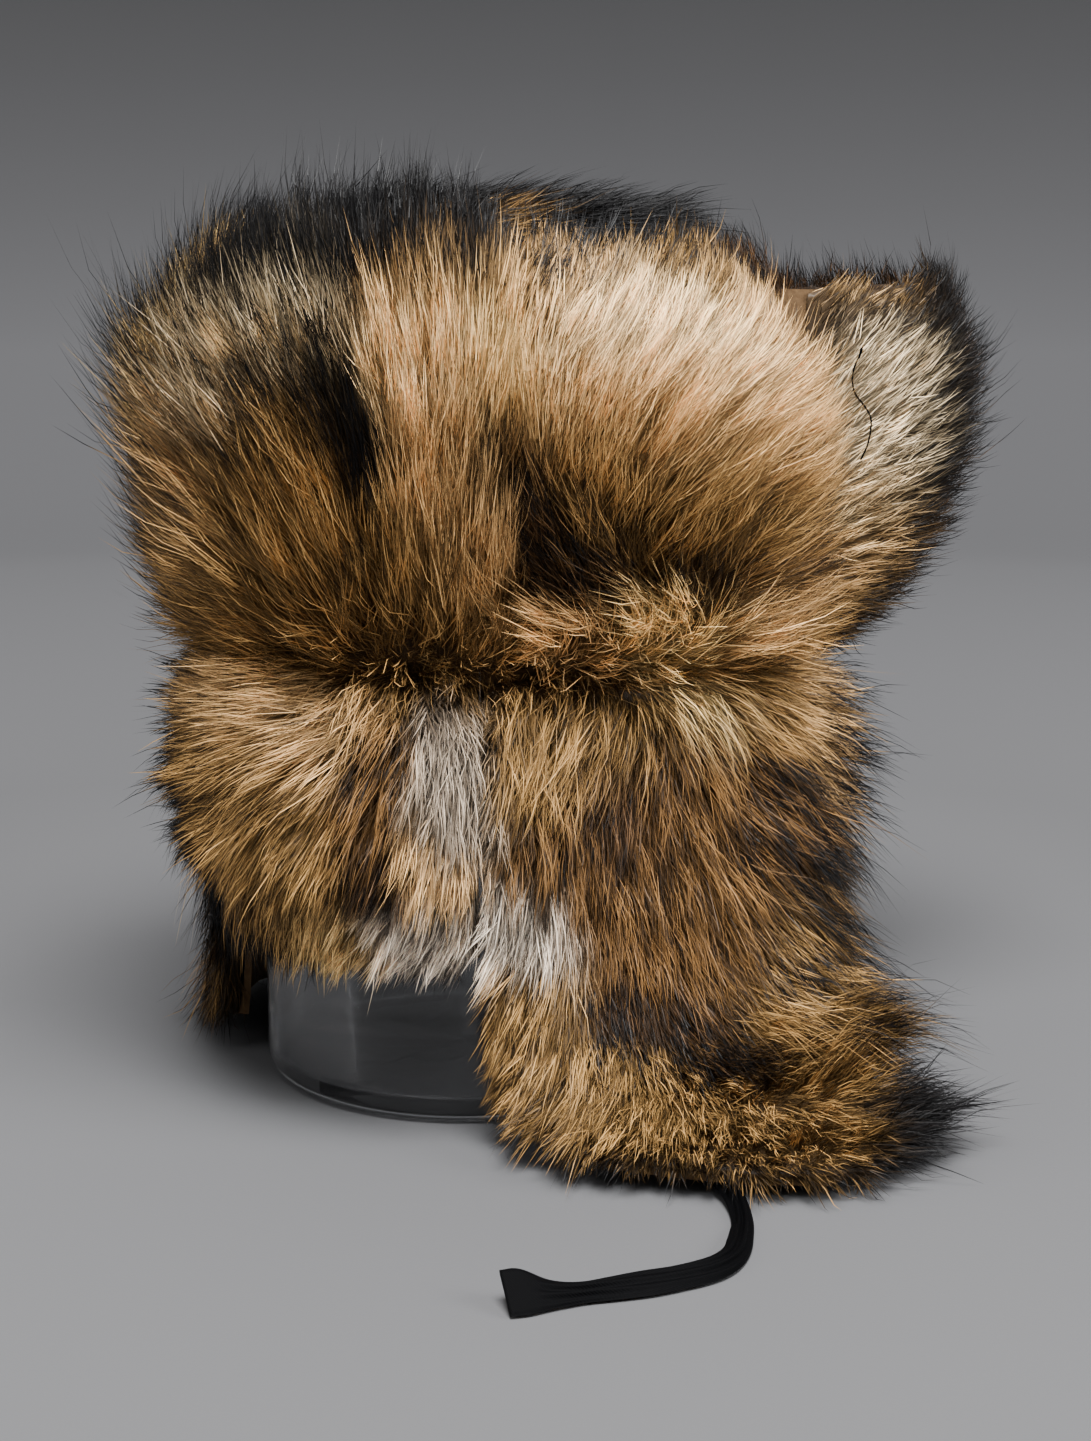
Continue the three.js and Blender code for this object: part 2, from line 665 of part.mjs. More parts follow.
// The tie's route over the floor from under the ear flap's edge, measured from the hat's axis. Chosen by hand.
const TIE_ROUTE = [
  { x: -141, y: 52, rise: 2.2, lean: 0, width: 0.6 },
  { x: -149, y: 57, rise: 2.2, lean: 0, width: 0.56 },
  { x: -157, y: 62, rise: 2, lean: 0, width: 0.5 },
  { x: -165, y: 68, rise: 0.8, lean: 0, width: 0.46 },
  { x: -172, y: 75, rise: 0, lean: 0, width: 0.46 },
  { x: -178, y: 83, rise: 0, lean: 12, width: 0.5 },
  { x: -183.5, y: 91, rise: 0, lean: 22, width: 0.54 },
  { x: -187.5, y: 98.5, rise: 0, lean: 28, width: 0.52 },
  { x: -189, y: 106, rise: 0, lean: 26, width: 0.56 },
  { x: -188, y: 113, rise: 0, lean: 22, width: 0.62 },
  { x: -185, y: 121, rise: 0, lean: 18, width: 0.66 },
  { x: -181, y: 130, rise: 0, lean: 18, width: 0.7 },
  { x: -176.5, y: 139, rise: 0, lean: 22, width: 0.76 },
  { x: -172, y: 147, rise: 0, lean: 26, width: 0.74 },
  { x: -167.5, y: 155, rise: 0, lean: 30, width: 0.86 },
  { x: -163, y: 162, rise: 0, lean: 34, width: 1 },
  { x: -160, y: 167, rise: 0, lean: 36, width: 1 },
];

// The crown's inside height over a point, from the share of the oval that the point reaches.
function crownInsideHeight(x, y) {
  const reach = Math.hypot(x / (HEAD_WIDTH / 2), y / (HEAD_LENGTH / 2));
  const falling = CROWN_PROFILE.slice(CROWN_PROFILE.findIndex((row) => row.reach === widestReach)).reverse();
  return BROW_HEIGHT + CROWN_HEIGHT * read(falling, 'reach', reach, 'rise');
}

// The clear stand: a round cup with a thick floor, whose rim carries the crown.
function stand() {
  const steps = Array.from({ length: 72 }, (_, k) => radians(5 * k));
  const rimEdge = STAND_RIM_RADIUS - STAND_WALL / 3;
  const rimHeight = Math.min(...steps.map((a) => (
    crownInsideHeight(rimEdge * Math.cos(a), STAND_SETBACK + rimEdge * Math.sin(a))
  ))) - SEAM_GAP;
  const corner = STAND_RADIUS - STAND_FOOT_RADIUS;
  const profile = [
    [0, 0],
    [STAND_FOOT_RADIUS, 0],
    [STAND_FOOT_RADIUS + corner * 0.7, corner * 0.3],
    [STAND_RADIUS, corner],
    [STAND_RADIUS, BROW_HEIGHT / 2],
    [STAND_RIM_RADIUS, rimHeight - STAND_WALL / 2],
    [rimEdge, rimHeight],
    [STAND_RIM_RADIUS - (2 * STAND_WALL) / 3, rimHeight],
    [STAND_RIM_RADIUS - STAND_WALL, rimHeight - STAND_WALL / 2],
    [STAND_RADIUS - STAND_WALL, BROW_HEIGHT / 2],
    [STAND_RADIUS - STAND_WALL, STAND_FLOOR + STAND_WALL],
    [STAND_RADIUS - 2 * STAND_WALL, STAND_FLOOR],
    [0, STAND_FLOOR],
  ].map(([radius, height]) => new THREE.Vector2(radius, height));
  const geometry = new THREE.LatheGeometry(profile, STAND_SIDES);
  geometry.rotateX(Math.PI / 2);
  const mesh = new THREE.Mesh(geometry, acrylicMaterial);
  mesh.name = 'stand';
  return mesh;
}

const hat = new THREE.Group();
hat.position.set(0, -STAND_SETBACK, 0);
hat.add(
  crownShell(),
  crownCoat('crown_fur_back', -BACK_EDGE, BACK_EDGE, furMaterial),
  crownCoat('crown_fur_right', BACK_EDGE, VISOR_EDGE, paleFurMaterial),
  crownCoat('crown_fur_left', -VISOR_EDGE, -BACK_EDGE, paleFurMaterial),
  crownFrontFur(),
  crownTopFur(),
  ...visorParts(),
  ...napeParts(),
  ...earParts('right', 1, FLAP_SPLAY_RIGHT),
  ...earParts('left', -1, FLAP_SPLAY_LEFT),
  ribbon('tie_right', TIE_ROUTE),
);

const ushankaOnStand = new THREE.Group();
ushankaOnStand.add(stand(), hat);

export default ushankaOnStand;
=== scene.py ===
"""A fur ushanka on a clear cup-shaped stand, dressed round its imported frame."""

import math
from collections import namedtuple

import bmesh
import bpy
import numpy as np
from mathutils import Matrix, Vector
from mathutils.bvhtree import BVHTree


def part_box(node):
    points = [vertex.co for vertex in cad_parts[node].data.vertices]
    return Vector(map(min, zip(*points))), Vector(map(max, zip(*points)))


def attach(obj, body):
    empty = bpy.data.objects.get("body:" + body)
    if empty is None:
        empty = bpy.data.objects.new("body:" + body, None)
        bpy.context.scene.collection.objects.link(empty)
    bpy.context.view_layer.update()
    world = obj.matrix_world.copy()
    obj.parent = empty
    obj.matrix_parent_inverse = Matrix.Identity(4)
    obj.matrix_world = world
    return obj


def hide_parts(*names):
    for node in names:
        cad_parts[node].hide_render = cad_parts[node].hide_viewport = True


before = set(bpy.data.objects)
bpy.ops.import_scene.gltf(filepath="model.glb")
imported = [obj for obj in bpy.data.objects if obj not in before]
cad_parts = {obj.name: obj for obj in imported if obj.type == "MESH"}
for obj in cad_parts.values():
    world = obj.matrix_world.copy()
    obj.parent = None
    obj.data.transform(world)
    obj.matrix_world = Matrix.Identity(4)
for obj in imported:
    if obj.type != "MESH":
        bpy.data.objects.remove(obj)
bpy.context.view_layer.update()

bl_info = {
    "name": "Ushanka on a stand",
    "version": (1, 0, 0),
    "blender": (4, 5, 0),
    "location": "View3D > Sidebar > Ushanka",
    "description": "Makes the fur, the ribbon tie, the clear stand and the studio of a fur ushanka",
    "category": "Object",
}

MM = 0.001
BODY = "root"
JOINED_WITHIN = 0.01 * MM
HEAD_WIDTH = 164 * MM
HEAD_LENGTH = 198 * MM
HAT_SETBACK = 21 * MM
HAT_RADIUS = 118 * MM
UP = Vector((0, 0, 1))
FRONT = Vector((0, -1, 0))

# The photograph's camera: its place, and its turn and tilt in degrees
CAMERA_PLACE = (-0.60063, 0.60063, 0.29746)
CAMERA_TURN = 136.93
CAMERA_TILT = 11.418
CAMERA_LENS = 60.28
FILM_LONG_SIDE = 36

# The fur's colours, as they look on a screen
COLOURS = {
    "ivory": (0.97, 0.87, 0.70),
    "cream": (0.94, 0.79, 0.53),
    "peach": (0.90, 0.76, 0.55),
    "tan": (0.80, 0.635, 0.42),
    "honey": (0.59, 0.455, 0.27),
    "ochre": (0.41, 0.295, 0.165),
    "umber": (0.27, 0.19, 0.115),
    "white": (0.87, 0.81, 0.735),
    "grey": (0.63, 0.565, 0.49),
    "charcoal": (0.085, 0.08, 0.085),
    "black": (0.045, 0.042, 0.045),
}
# Partly the suede's own brown and partly painted shade: both tones are darkened so that the bare hide in the
# crease beside the visor reads as shaded
SUEDE_DARK = (0.27, 0.20, 0.13)
SUEDE_LIGHT = (0.46, 0.36, 0.25)
RIBBON_BLACK = (0.012, 0.012, 0.016)
RIBBON_SHEEN = 0.02
FLOOR_GREY = (0.340, 0.340, 0.347)
WORLD_GREY = (0.5, 0.5, 0.52)


def linear(colour):
    """The scene-linear values of a colour as it looks on a screen."""
    return tuple(c / 12.92 if c <= 0.04045 else ((c + 0.055) / 1.055) ** 2.4 for c in colour)


# A patch of a pelt: its middle as an angle round the hat and a height in mm, the way its hair lies in degrees
# from up, towards the growing angle, the hair's length in mm, the patch's size across and up in mm, its band
# colour, how much of its tips is black, and how loose it is
# In the fold, crease and hollow patches the band colour is painted shade, and in the ridge patches partly a
# painted highlight
Patch = namedtuple("Patch", "name angle height lay length across tall band tip loose")

BACK_PATCHES = [
    Patch("top edge left", 0, 296, -8, 30, 20, 8, "charcoal", 1.0, 0.4),
    Patch("top edge", 18, 300, -4, 34, 16, 8, "charcoal", 1.0, 0.3),
    Patch("tall tuft", 27, 302, 4, 38, 9, 9, "black", 1.0, 0.4),
    Patch("second tuft", 43, 299, 18, 37, 7, 8, "charcoal", 1.0, 0.4),
    Patch("pale streaks left", -4, 264, -6, 32, 14, 14, "ivory", 0.75, 0.3),
    Patch("pale streaks", 13, 276, -10, 34, 14, 12, "ivory", 0.75, 0.25),
    Patch("dark streaks", 14, 250, -12, 34, 11, 10, "honey", 0.75, 0.25),
    Patch("stripe top", 19, 264, -10, 30, 3.5, 8, "black", 1.0, 0.15),
    Patch("stripe middle", 24, 248, -8, 30, 4, 10, "black", 1.0, 0.15),
    Patch("stripe foot", 29, 232, -6, 30, 3.5, 9, "black", 1.0, 0.15),
    Patch("brown left", 10, 228, -20, 34, 16, 14, "honey", 0.55, 0.25),
    Patch("left edge", -14, 222, -26, 38, 14, 16, "tan", 0.7, 0.6),
    Patch("left curve", -30, 264, -8, 34, 16, 16, "cream", 0.95, 0.5),
    Patch("left middle", -38, 225, -16, 34, 16, 16, "tan", 0.85, 0.5),
    Patch("cream crest", 36, 284, -6, 30, 12, 9, "tan", 0.6, 0.25),
    Patch("peach left", 38, 264, -12, 30, 10, 12, "peach", 0.04, 0.25),
    Patch("peach right", 48, 264, 10, 30, 8, 12, "cream", 0.04, 0.25),
    Patch("tan middle", 41, 234, 0, 32, 9, 16, "tan", 0.1, 0.25),
    Patch("tan foot", 44, 206, 2, 32, 8, 14, "tan", 0.2, 0.25),
    Patch("notch cream", 50, 288, 26, 30, 7, 9, "tan", 0.5, 0.3),
    Patch("honey left", 17, 196, -10, 30, 18, 12, "honey", 0.35, 0.3),
    Patch("honey right", 35, 188, 0, 30, 12, 12, "honey", 0.3, 0.3),
    Patch("low left", -6, 182, -55, 32, 16, 12, "honey", 0.45, 0.35),
    Patch("low far left", -32, 186, -40, 34, 16, 14, "honey", 0.8, 0.35),
    # Painted shade: the umber band of the fold foot paints the shade low in the fold between the back and the
    # side
    Patch("fold foot", 46, 216, 0, 28, 4, 16, "umber", 0.55, 0.25),
    Patch("seam right", 40, 163, 10, 15, 18, 5, "honey", 0.1, 1.1),
    Patch("seam middle", 12, 165, -20, 17, 18, 5, "honey", 0.15, 0.9),
    Patch("seam left", -26, 166, -60, 26, 20, 6, "honey", 0.4, 0.5),
]
SIDE_PATCHES = [
    # Painted shade: the fold's darker bands paint the shade in the fold between the back and the side
    Patch("fold top", 52, 258, 14, 28, 4, 10, "honey", 0.15, 0.2),
    Patch("fold", 50, 240, 8, 28, 4, 12, "ochre", 0.4, 0.25),
    Patch("fold foot right", 53, 212, 4, 28, 5, 12, "umber", 0.7, 0.3),
    Patch("crest", 64, 292, 20, 32, 14, 8, "tan", 0.9, 0.4),
    Patch("crest front", 94, 289, 36, 34, 14, 9, "honey", 0.8, 0.45),
    Patch("pale back", 70, 268, 34, 30, 14, 12, "peach", 0.08, 0.25),
    Patch("pale middle", 88, 262, 46, 30, 14, 12, "peach", 0.05, 0.25),
    Patch("pale front", 106, 262, 36, 28, 12, 14, "tan", 0.25, 0.35),
    Patch("tan back", 71, 244, 34, 30, 11, 11, "tan", 0.05, 0.25),
    Patch("tan middle", 88, 240, 55, 30, 13, 11, "tan", 0.1, 0.25),
    Patch("tan front", 106, 232, 44, 27, 11, 13, "tan", 0.25, 0.35),
    Patch("honey back", 66, 220, 16, 32, 9, 11, "honey", 0.25, 0.35),
    Patch("honey middle", 80, 214, 40, 32, 11, 11, "honey", 0.3, 0.35),
    Patch("honey front", 98, 206, 50, 30, 11, 12, "honey", 0.4, 0.4),
    # Painted shade: the umber bands of the front edge paint the shade in the crease beside the visor
    Patch("front edge", 115, 262, 30, 24, 5, 22, "umber", 0.85, 0.3),
    Patch("front edge low", 115, 214, 40, 24, 5, 18, "umber", 0.85, 0.3),
    # Painted shade: the umber and ochre bands of the hollow paint the shade in the dip above the ridge
    Patch("hollow", 80, 191, 8, 26, 9, 6, "umber", 0.9, 0.4),
    Patch("hollow back", 62, 194, -28, 30, 8, 10, "umber", 0.7, 0.45),
    Patch("hollow front", 100, 188, 62, 28, 11, 8, "ochre", 0.4, 0.4),
    # Partly the fur's own tan and cream and partly a painted highlight: the ridge's pale bands with no black
    # tips paint the light caught along the ridge
    Patch("ridge back", 60, 172, -70, 24, 11, 6.5, "tan", 0.0, 0.6),
    Patch("ridge", 76, 175, -62, 24, 11, 6.5, "cream", 0.0, 0.5),
    Patch("ridge front", 94, 172, 72, 26, 12, 6.5, "tan", 0.0, 0.5),
    Patch("seam", 68, 162, 30, 14, 18, 4, "ochre", 0.2, 1.1),
    Patch("seam front", 104, 160, 60, 22, 14, 4, "honey", 0.25, 0.8),
]
VISOR_PATCHES = [
    # Painted shade: the umber bands of the corner crease paint the shade in the crease between the crown and
    # the visor
    Patch("corner crease top", 117, 272, 24, 26, 4, 14, "umber", 0.8, 0.25),
    Patch("corner crease", 117, 226, 40, 26, 4, 10, "umber", 0.7, 0.3),
    Patch("corner stripe", 121, 279, 48, 26, 7, 4, "umber", 0.8, 0.2),
    Patch("corner top", 124, 289, 22, 30, 9, 5, "honey", 0.5, 0.4),
    Patch("corner pale", 121.5, 258, 38, 28, 8, 14, "ivory", 0.0, 0.3),
    Patch("corner pale low", 122, 232, 54, 28, 9, 13, "ivory", 0.0, 0.2),
    Patch("corner grey", 121, 208, 62, 28, 8, 11, "peach", 0.1, 0.4),
    Patch("corner tan", 125, 184, 74, 28, 9, 12, "tan", 0.15, 0.3),
    Patch("corner foot", 124, 160, 82, 28, 9, 9, "honey", 0.35, 0.35),
    Patch("turn top", 132, 284, 30, 32, 9, 13, "black", 1.0, 0.3),
    Patch("turn", 131.5, 240, 60, 33, 8.5, 24, "black", 1.0, 0.3),
    Patch("turn foot", 132, 184, 76, 33, 9, 26, "black", 1.0, 0.3),
    Patch("front", 160, 250, 12, 28, 30, 34, "umber", 0.9, 0.3),
    Patch("front foot", 160, 180, 20, 28, 34, 26, "ochre", 0.7, 0.3),
]
NAPE_PATCHES = [
    Patch("left top", -13, 146, -92, 25, 16, 8, "tan", 0.4, 0.3),
    Patch("left", -12, 120, -112, 27, 16, 12, "honey", 0.5, 0.3),
    Patch("far left top", -34, 140, -115, 30, 14, 12, "honey", 0.95, 0.35),
    Patch("far left", -34, 104, -140, 30, 14, 14, "honey", 1.0, 0.35),
    Patch("far left foot", -36, 74, 180, 34, 12, 14, "black", 1.0, 0.5),
    Patch("top middle", 12, 147, -104, 22, 16, 7, "tan", 0.15, 0.35),
    Patch("grey whorl", 14, 132, -125, 22, 9, 6, "tan", 0.3, 0.35),
    Patch("middle", 7, 108, -156, 27, 13, 14, "honey", 0.3, 0.25),
    Patch("foot left", -4, 76, -166, 29, 14, 14, "honey", 0.35, 0.3),
    Patch("foot", 12, 76, -166, 29, 12, 14, "honey", 0.35, 0.3),
    Patch("brown", 27, 122, -166, 24, 8, 14, "ochre", 0.4, 0.25),
    Patch("pale blaze top", 37, 141, -173, 20, 3.2, 7, "grey", 0.1, 0.4),
    Patch("pale blaze", 36, 120, -168, 22, 2.8, 10, "grey", 0.1, 0.3),
    Patch("blaze foot", 34, 100, -165, 22, 3, 8, "tan", 0.15, 0.25),
    Patch("grey tan", 43, 112, -172, 22, 6, 14, "grey", 0.15, 0.25),
    Patch("dark patch", 27, 88, -158, 24, 8, 8, "umber", 0.6, 0.25),
    Patch("grey low", 40, 90, -166, 24, 7, 6, "tan", 0.25, 0.25),
    Patch("pale hem left", 14, 64, -140, 24, 12, 8, "cream", 0.0, 0.3),
    Patch("pale hem", 31, 65, -146, 24, 12, 9, "white", 0.0, 0.3),
    Patch("hem hair", -8, 50, 180, 52, 18, 6, "black", 1.0, 0.6),
    Patch("hem hair right", 30, 43, 180, 42, 16, 5, "black", 1.0, 0.6),
    Patch("seam", 34, 153, -170, 13, 22, 4, "honey", 0.15, 1.0),
]
FLAP_PATCHES = [
    Patch("fan middle", 84, 148, 178, 24, 11, 8, "cream", 0.05, 0.35),
    Patch("fan back", 67, 140, -146, 25, 11, 9, "honey", 0.1, 0.35),
    Patch("fan front", 100, 138, 140, 27, 13, 9, "honey", 0.2, 0.35),
    Patch("far front", 114, 128, 122, 38, 10, 14, "tan", 1.0, 0.4),
    Patch("curls", 54, 128, -172, 20, 9, 10, "honey", 0.2, 0.55),
    Patch("middle", 79, 118, 178, 27, 10, 10, "ochre", 0.35, 0.35),
    Patch("middle back", 66, 112, -172, 25, 9, 10, "umber", 0.45, 0.3),
    Patch("front", 98, 104, 150, 38, 12, 12, "ochre", 0.9, 0.4),
    Patch("ochre back", 57, 99, -175, 24, 9, 9, "ochre", 0.4, 0.25),
    Patch("pale hem right", 51, 70, -155, 24, 9, 7, "white", 0.0, 0.25),
    Patch("pale hem back", 46, 70, -165, 24, 5, 5, "white", 0.02, 0.25),
    Patch("ochre", 70, 80, -177, 25, 11, 10, "ochre", 0.4, 0.25),
    Patch("ochre front", 85, 68, 172, 27, 10, 9, "ochre", 0.4, 0.3),
    Patch("tan front", 97, 56, 158, 40, 10, 9, "honey", 0.95, 0.45),
    Patch("low back", 53, 50, -166, 25, 8, 10, "honey", 0.4, 0.3),
    # Painted shade: the darker bands of the fold paint the shade in the fold across the flap, lighter at its
    # front
    Patch("fold back", 66, 46, -178, 22, 8, 4, "umber", 0.85, 0.3),
    Patch("fold low", 75, 41, 170, 22, 7, 3.5, "umber", 0.8, 0.3),
    Patch("fold front", 88, 36, 145, 24, 8, 4, "honey", 0.5, 0.25),
    Patch("roll back", 53, 22, -152, 30, 9, 9, "honey", 0.45, 0.35),
    Patch("roll", 63, 22, -168, 32, 10, 7, "honey", 0.3, 0.35),
    Patch("roll middle", 76, 20, 172, 32, 11, 8, "honey", 0.4, 0.35),
    Patch("roll front", 92, 18, 132, 40, 7, 8, "charcoal", 1.0, 0.5),
    Patch("hem front", 84, 9, 140, 36, 12, 4, "charcoal", 1.0, 0.5),
    Patch("hem", 66, 7, 180, 27, 14, 3, "black", 1.0, 0.35),
]
TOP_PATCHES = [
    Patch("top", 0, 300, 50, 28, 60, 20, "charcoal", 1.0, 0.3),
    Patch("top front", 180, 300, 40, 28, 60, 20, "charcoal", 1.0, 0.3),
    Patch("crest border", 60, 302, 60, 30, 8, 6, "honey", 1.0, 0.5),
]
FRONT_PATCHES = [
    Patch("front", 180, 260, 10, 22, 60, 40, "umber", 0.8, 0.3),
]
CROWN_PATCHES = BACK_PATCHES + SIDE_PATCHES
SKIRT_PATCHES = NAPE_PATCHES + FLAP_PATCHES
LEFT_EDGE_PATCHES = [
    Patch("rear edge", -48, 96, 180, 40, 10, 30, "black", 1.0, 0.5),
    Patch("rear edge low", -50, 50, 170, 40, 10, 20, "black", 1.0, 0.5),
]


def mirrored(patches):
    """The same patches on the other side of the hat."""
    return [patch._replace(angle=-patch.angle, lay=-patch.lay) for patch in patches]


LEFT_SIDE_PATCHES = mirrored(SIDE_PATCHES)
LEFT_FLAP_PATCHES = LEFT_EDGE_PATCHES + mirrored(FLAP_PATCHES)
WHOLE_VISOR_PATCHES = VISOR_PATCHES + mirrored(VISOR_PATCHES)
HIDES = ["crown_shell", "visor_hide", "nape_hide", "ear_hide_right", "ear_hide_left"]

# A pelt: its piece, the node that it replaces, the hide under it, its patches, the way that its lay is
# measured from, and how many thousand fine hairs and guard hairs grow on it
Pelt = namedtuple("Pelt", "piece node hide patches up fine guard")
PELTS = [
    Pelt("fur_back", "crown_fur_back", "crown_shell", CROWN_PATCHES, UP, 42.0, 20.0),
    Pelt("fur_right", "crown_fur_right", "crown_shell", CROWN_PATCHES, UP, 30.0, 15.0),
    Pelt("fur_left", "crown_fur_left", "crown_shell", LEFT_SIDE_PATCHES, UP, 14.0, 8.0),
    Pelt("fur_top", "crown_fur_top", "crown_shell", TOP_PATCHES, FRONT, 10.0, 7.0),
    Pelt("fur_front", "crown_fur_front", "crown_shell", FRONT_PATCHES, UP, 4.0, 2.0),
    Pelt("fur_visor", "visor_fur", "visor_hide", WHOLE_VISOR_PATCHES, UP, 26.0, 15.0),
    Pelt("fur_nape", "nape_fur", "nape_hide", SKIRT_PATCHES, UP, 28.0, 14.0),
    Pelt("fur_ear_right", "ear_fur_right", "ear_hide_right", SKIRT_PATCHES, UP, 40.0, 20.0),
    Pelt("fur_ear_left", "ear_fur_left", "ear_hide_left", LEFT_FLAP_PATCHES, UP, 14.0, 8.0),
]
THOUSAND = 1000
SEED_STEP = 7
# Where along a fine hair and a guard hair there are points between its root and its tip
FINE_ROWS = [0.42]
GUARD_ROWS = [0.34, 0.7]

# The tie's route, as the ribbon's own solid has it: place in mm from the hat's axis, rise in mm, lean in
# degrees, and the share of its width that is left where it is folded
Step = namedtuple("Step", "x y rise lean width")
TIE_ROUTE = [
    Step(-141, 52, 2.2, 0, 0.6),
    Step(-149, 57, 2.2, 0, 0.56),
    Step(-157, 62, 2, 0, 0.5),
    Step(-165, 68, 0.8, 0, 0.46),
    Step(-172, 75, 0, 0, 0.46),
    Step(-178, 83, 0, 12, 0.5),
    Step(-183.5, 91, 0, 22, 0.54),
    Step(-187.5, 98.5, 0, 28, 0.52),
    Step(-189, 106, 0, 26, 0.56),
    Step(-188, 113, 0, 22, 0.62),
    Step(-185, 121, 0, 18, 0.66),
    Step(-181, 130, 0, 18, 0.7),
    Step(-176.5, 139, 0, 22, 0.6),
    Step(-172, 147, 0, 26, 0.52),
    Step(-167.5, 155, 0, 30, 0.66),
    Step(-163, 162, 0, 34, 1),
    Step(-160, 167, 0, 36, 1),
]
TIE_FLOOR_GAP = 0.4 * MM


# Small helpers for trees, meshes and objects

def feed(tree, made, inputs):
    """Gives a node its inputs. A value that is a socket is linked, and any other is set."""
    for key, value in inputs.items():
        if isinstance(value, bpy.types.NodeSocket):
            tree.links.new(value, made.inputs[key])
        else:
            made.inputs[key].default_value = value


def node(tree, kind, inputs=None, **settings):
    """Adds a node with its settings and its inputs."""
    made = tree.nodes.new(kind)
    for key, value in settings.items():
        setattr(made, key, value)
    feed(tree, made, inputs or {})
    return made


def number(tree, operation, *values):
    """The result of a Math node."""
    return node(tree, "ShaderNodeMath", dict(enumerate(values)), operation=operation).outputs[0]


def vector(tree, operation, *values):
    """The result of a Vector Math node on one or two vectors."""
    made = node(tree, "ShaderNodeVectorMath", dict(enumerate(values)), operation=operation)
    return made.outputs["Vector"]


def scaled(tree, way, amount):
    """A vector times a number."""
    made = node(tree, "ShaderNodeVectorMath", {0: way, "Scale": amount}, operation="SCALE")
    return made.outputs["Vector"]


def read_named(tree, name, kind="FLOAT"):
    """A named attribute in a geometry tree."""
    return node(tree, "GeometryNodeInputNamedAttribute", {"Name": name}, data_type=kind).outputs[0]


def keep_named(tree, geometry, name, value, kind):
    """The geometry with a value kept on its points under a name."""
    inputs = {"Geometry": geometry, "Name": name, "Value": value}
    made = node(tree, "GeometryNodeStoreNamedAttribute", inputs, data_type=kind, domain="POINT")
    return made.outputs["Geometry"]


def add_sockets(tree, way, sockets):
    """Adds a group's sockets, each a name, a kind and a first value."""
    for name, kind, value in sockets:
        socket = tree.interface.new_socket(name, in_out=way, socket_type="NodeSocket" + kind)
        if value is not None:
            socket.default_value = value


def put_in_scene(name, mesh):
    """A new object for a mesh, at the origin."""
    made = bpy.data.objects.new(name, mesh)
    bpy.context.scene.collection.objects.link(made)
    return made


def arc(middle, radius, start, end, steps):
    """The points of an arc in a profile after its first one, with angles in degrees from outwards to up."""
    turns = [math.radians(start + (end - start) * k / steps) for k in range(1, steps + 1)]
    return [(middle[0] + radius * math.cos(a), middle[1] + radius * math.sin(a)) for a in turns]


def turned_points(profile, turns):
    """Rings of points, one for each radius and height of a profile."""
    angles = [2 * math.pi * k / turns for k in range(turns)]
    points = []
    for radius, height in profile:
        points += [(radius * math.cos(a), radius * math.sin(a), height) for a in angles]
    return points


def ring_faces(rings, sides, first=0):
    """The faces between rings of points, each ring with as many points as it has sides."""
    faces = []
    for ring in range(rings - 1):
        low = first + ring * sides
        for k in range(sides):
            after = (k + 1) % sides
            faces.append((low + k, low + after, low + sides + after, low + sides + k))
    return faces


def end_faces(rings, sides):
    """The faces that close the first ring and the last one."""
    last = (rings - 1) * sides
    return [tuple(range(sides)), tuple(range(last, last + sides))]


def mesh_of(name, points, faces):
    """A mesh from points and faces, with its normals pointing out."""
    mesh = bpy.data.meshes.new(name)
    mesh.from_pydata([tuple(p) for p in points], [], faces)
    work = bmesh.new()
    work.from_mesh(mesh)
    bmesh.ops.recalc_face_normals(work, faces=work.faces)
    work.to_mesh(mesh)
    work.free()
    mesh.shade_smooth()
    return mesh


def settled(made, name):
    """A plain mesh of an object with its modifiers, which then go."""
    bpy.context.view_layer.update()
    graph = bpy.context.evaluated_depsgraph_get()
    ready = made.evaluated_get(graph)
    mesh = bpy.data.meshes.new_from_object(ready, preserve_all_data_layers=True, depsgraph=graph)
    mesh.name = name
    old = made.data
    made.modifiers.clear()
    made.data = mesh
    bpy.data.meshes.remove(old)
    return mesh


def joined_copy(source, name):
    """A copy of a node's loose triangles, joined into one skin."""
    work = bmesh.new()
    work.from_mesh(source.data)
    bmesh.ops.remove_doubles(work, verts=work.verts, dist=JOINED_WITHIN)
    mesh = bpy.data.meshes.new(name)
    work.to_mesh(mesh)
    work.free()
    return mesh


def corners(mesh):
    """A mesh's vertices and their normals, as two arrays."""
    count = len(mesh.vertices)
    places = np.empty(count * 3)
    normals = np.empty(count * 3)
    mesh.vertices.foreach_get("co", places)
    mesh.vertex_normals.foreach_get("vector", normals)
    return places.reshape(-1, 3), normals.reshape(-1, 3)


def keep_values(mesh, name, kind, values):
    """Keeps an array of values on a mesh's points."""
    layer = mesh.attributes.new(name, kind, "POINT")
    key = {"FLOAT": "value", "FLOAT_VECTOR": "vector", "FLOAT_COLOR": "color"}[kind]
    layer.data.foreach_set(key, np.ascontiguousarray(values, dtype=np.float32).ravel())


def dress(made, material, slot, *replaced):
    made.data.materials.clear()
    made.data.materials.append(material)
    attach(made, BODY)
    if replaced:
        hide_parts(*replaced)


# Materials

def new_material(name):
    """A material with only a Principled shader and its output."""
    material = bpy.data.materials.new(name)
    material.use_nodes = True
    tree = material.node_tree
    return material, tree, tree.nodes["Principled BSDF"]


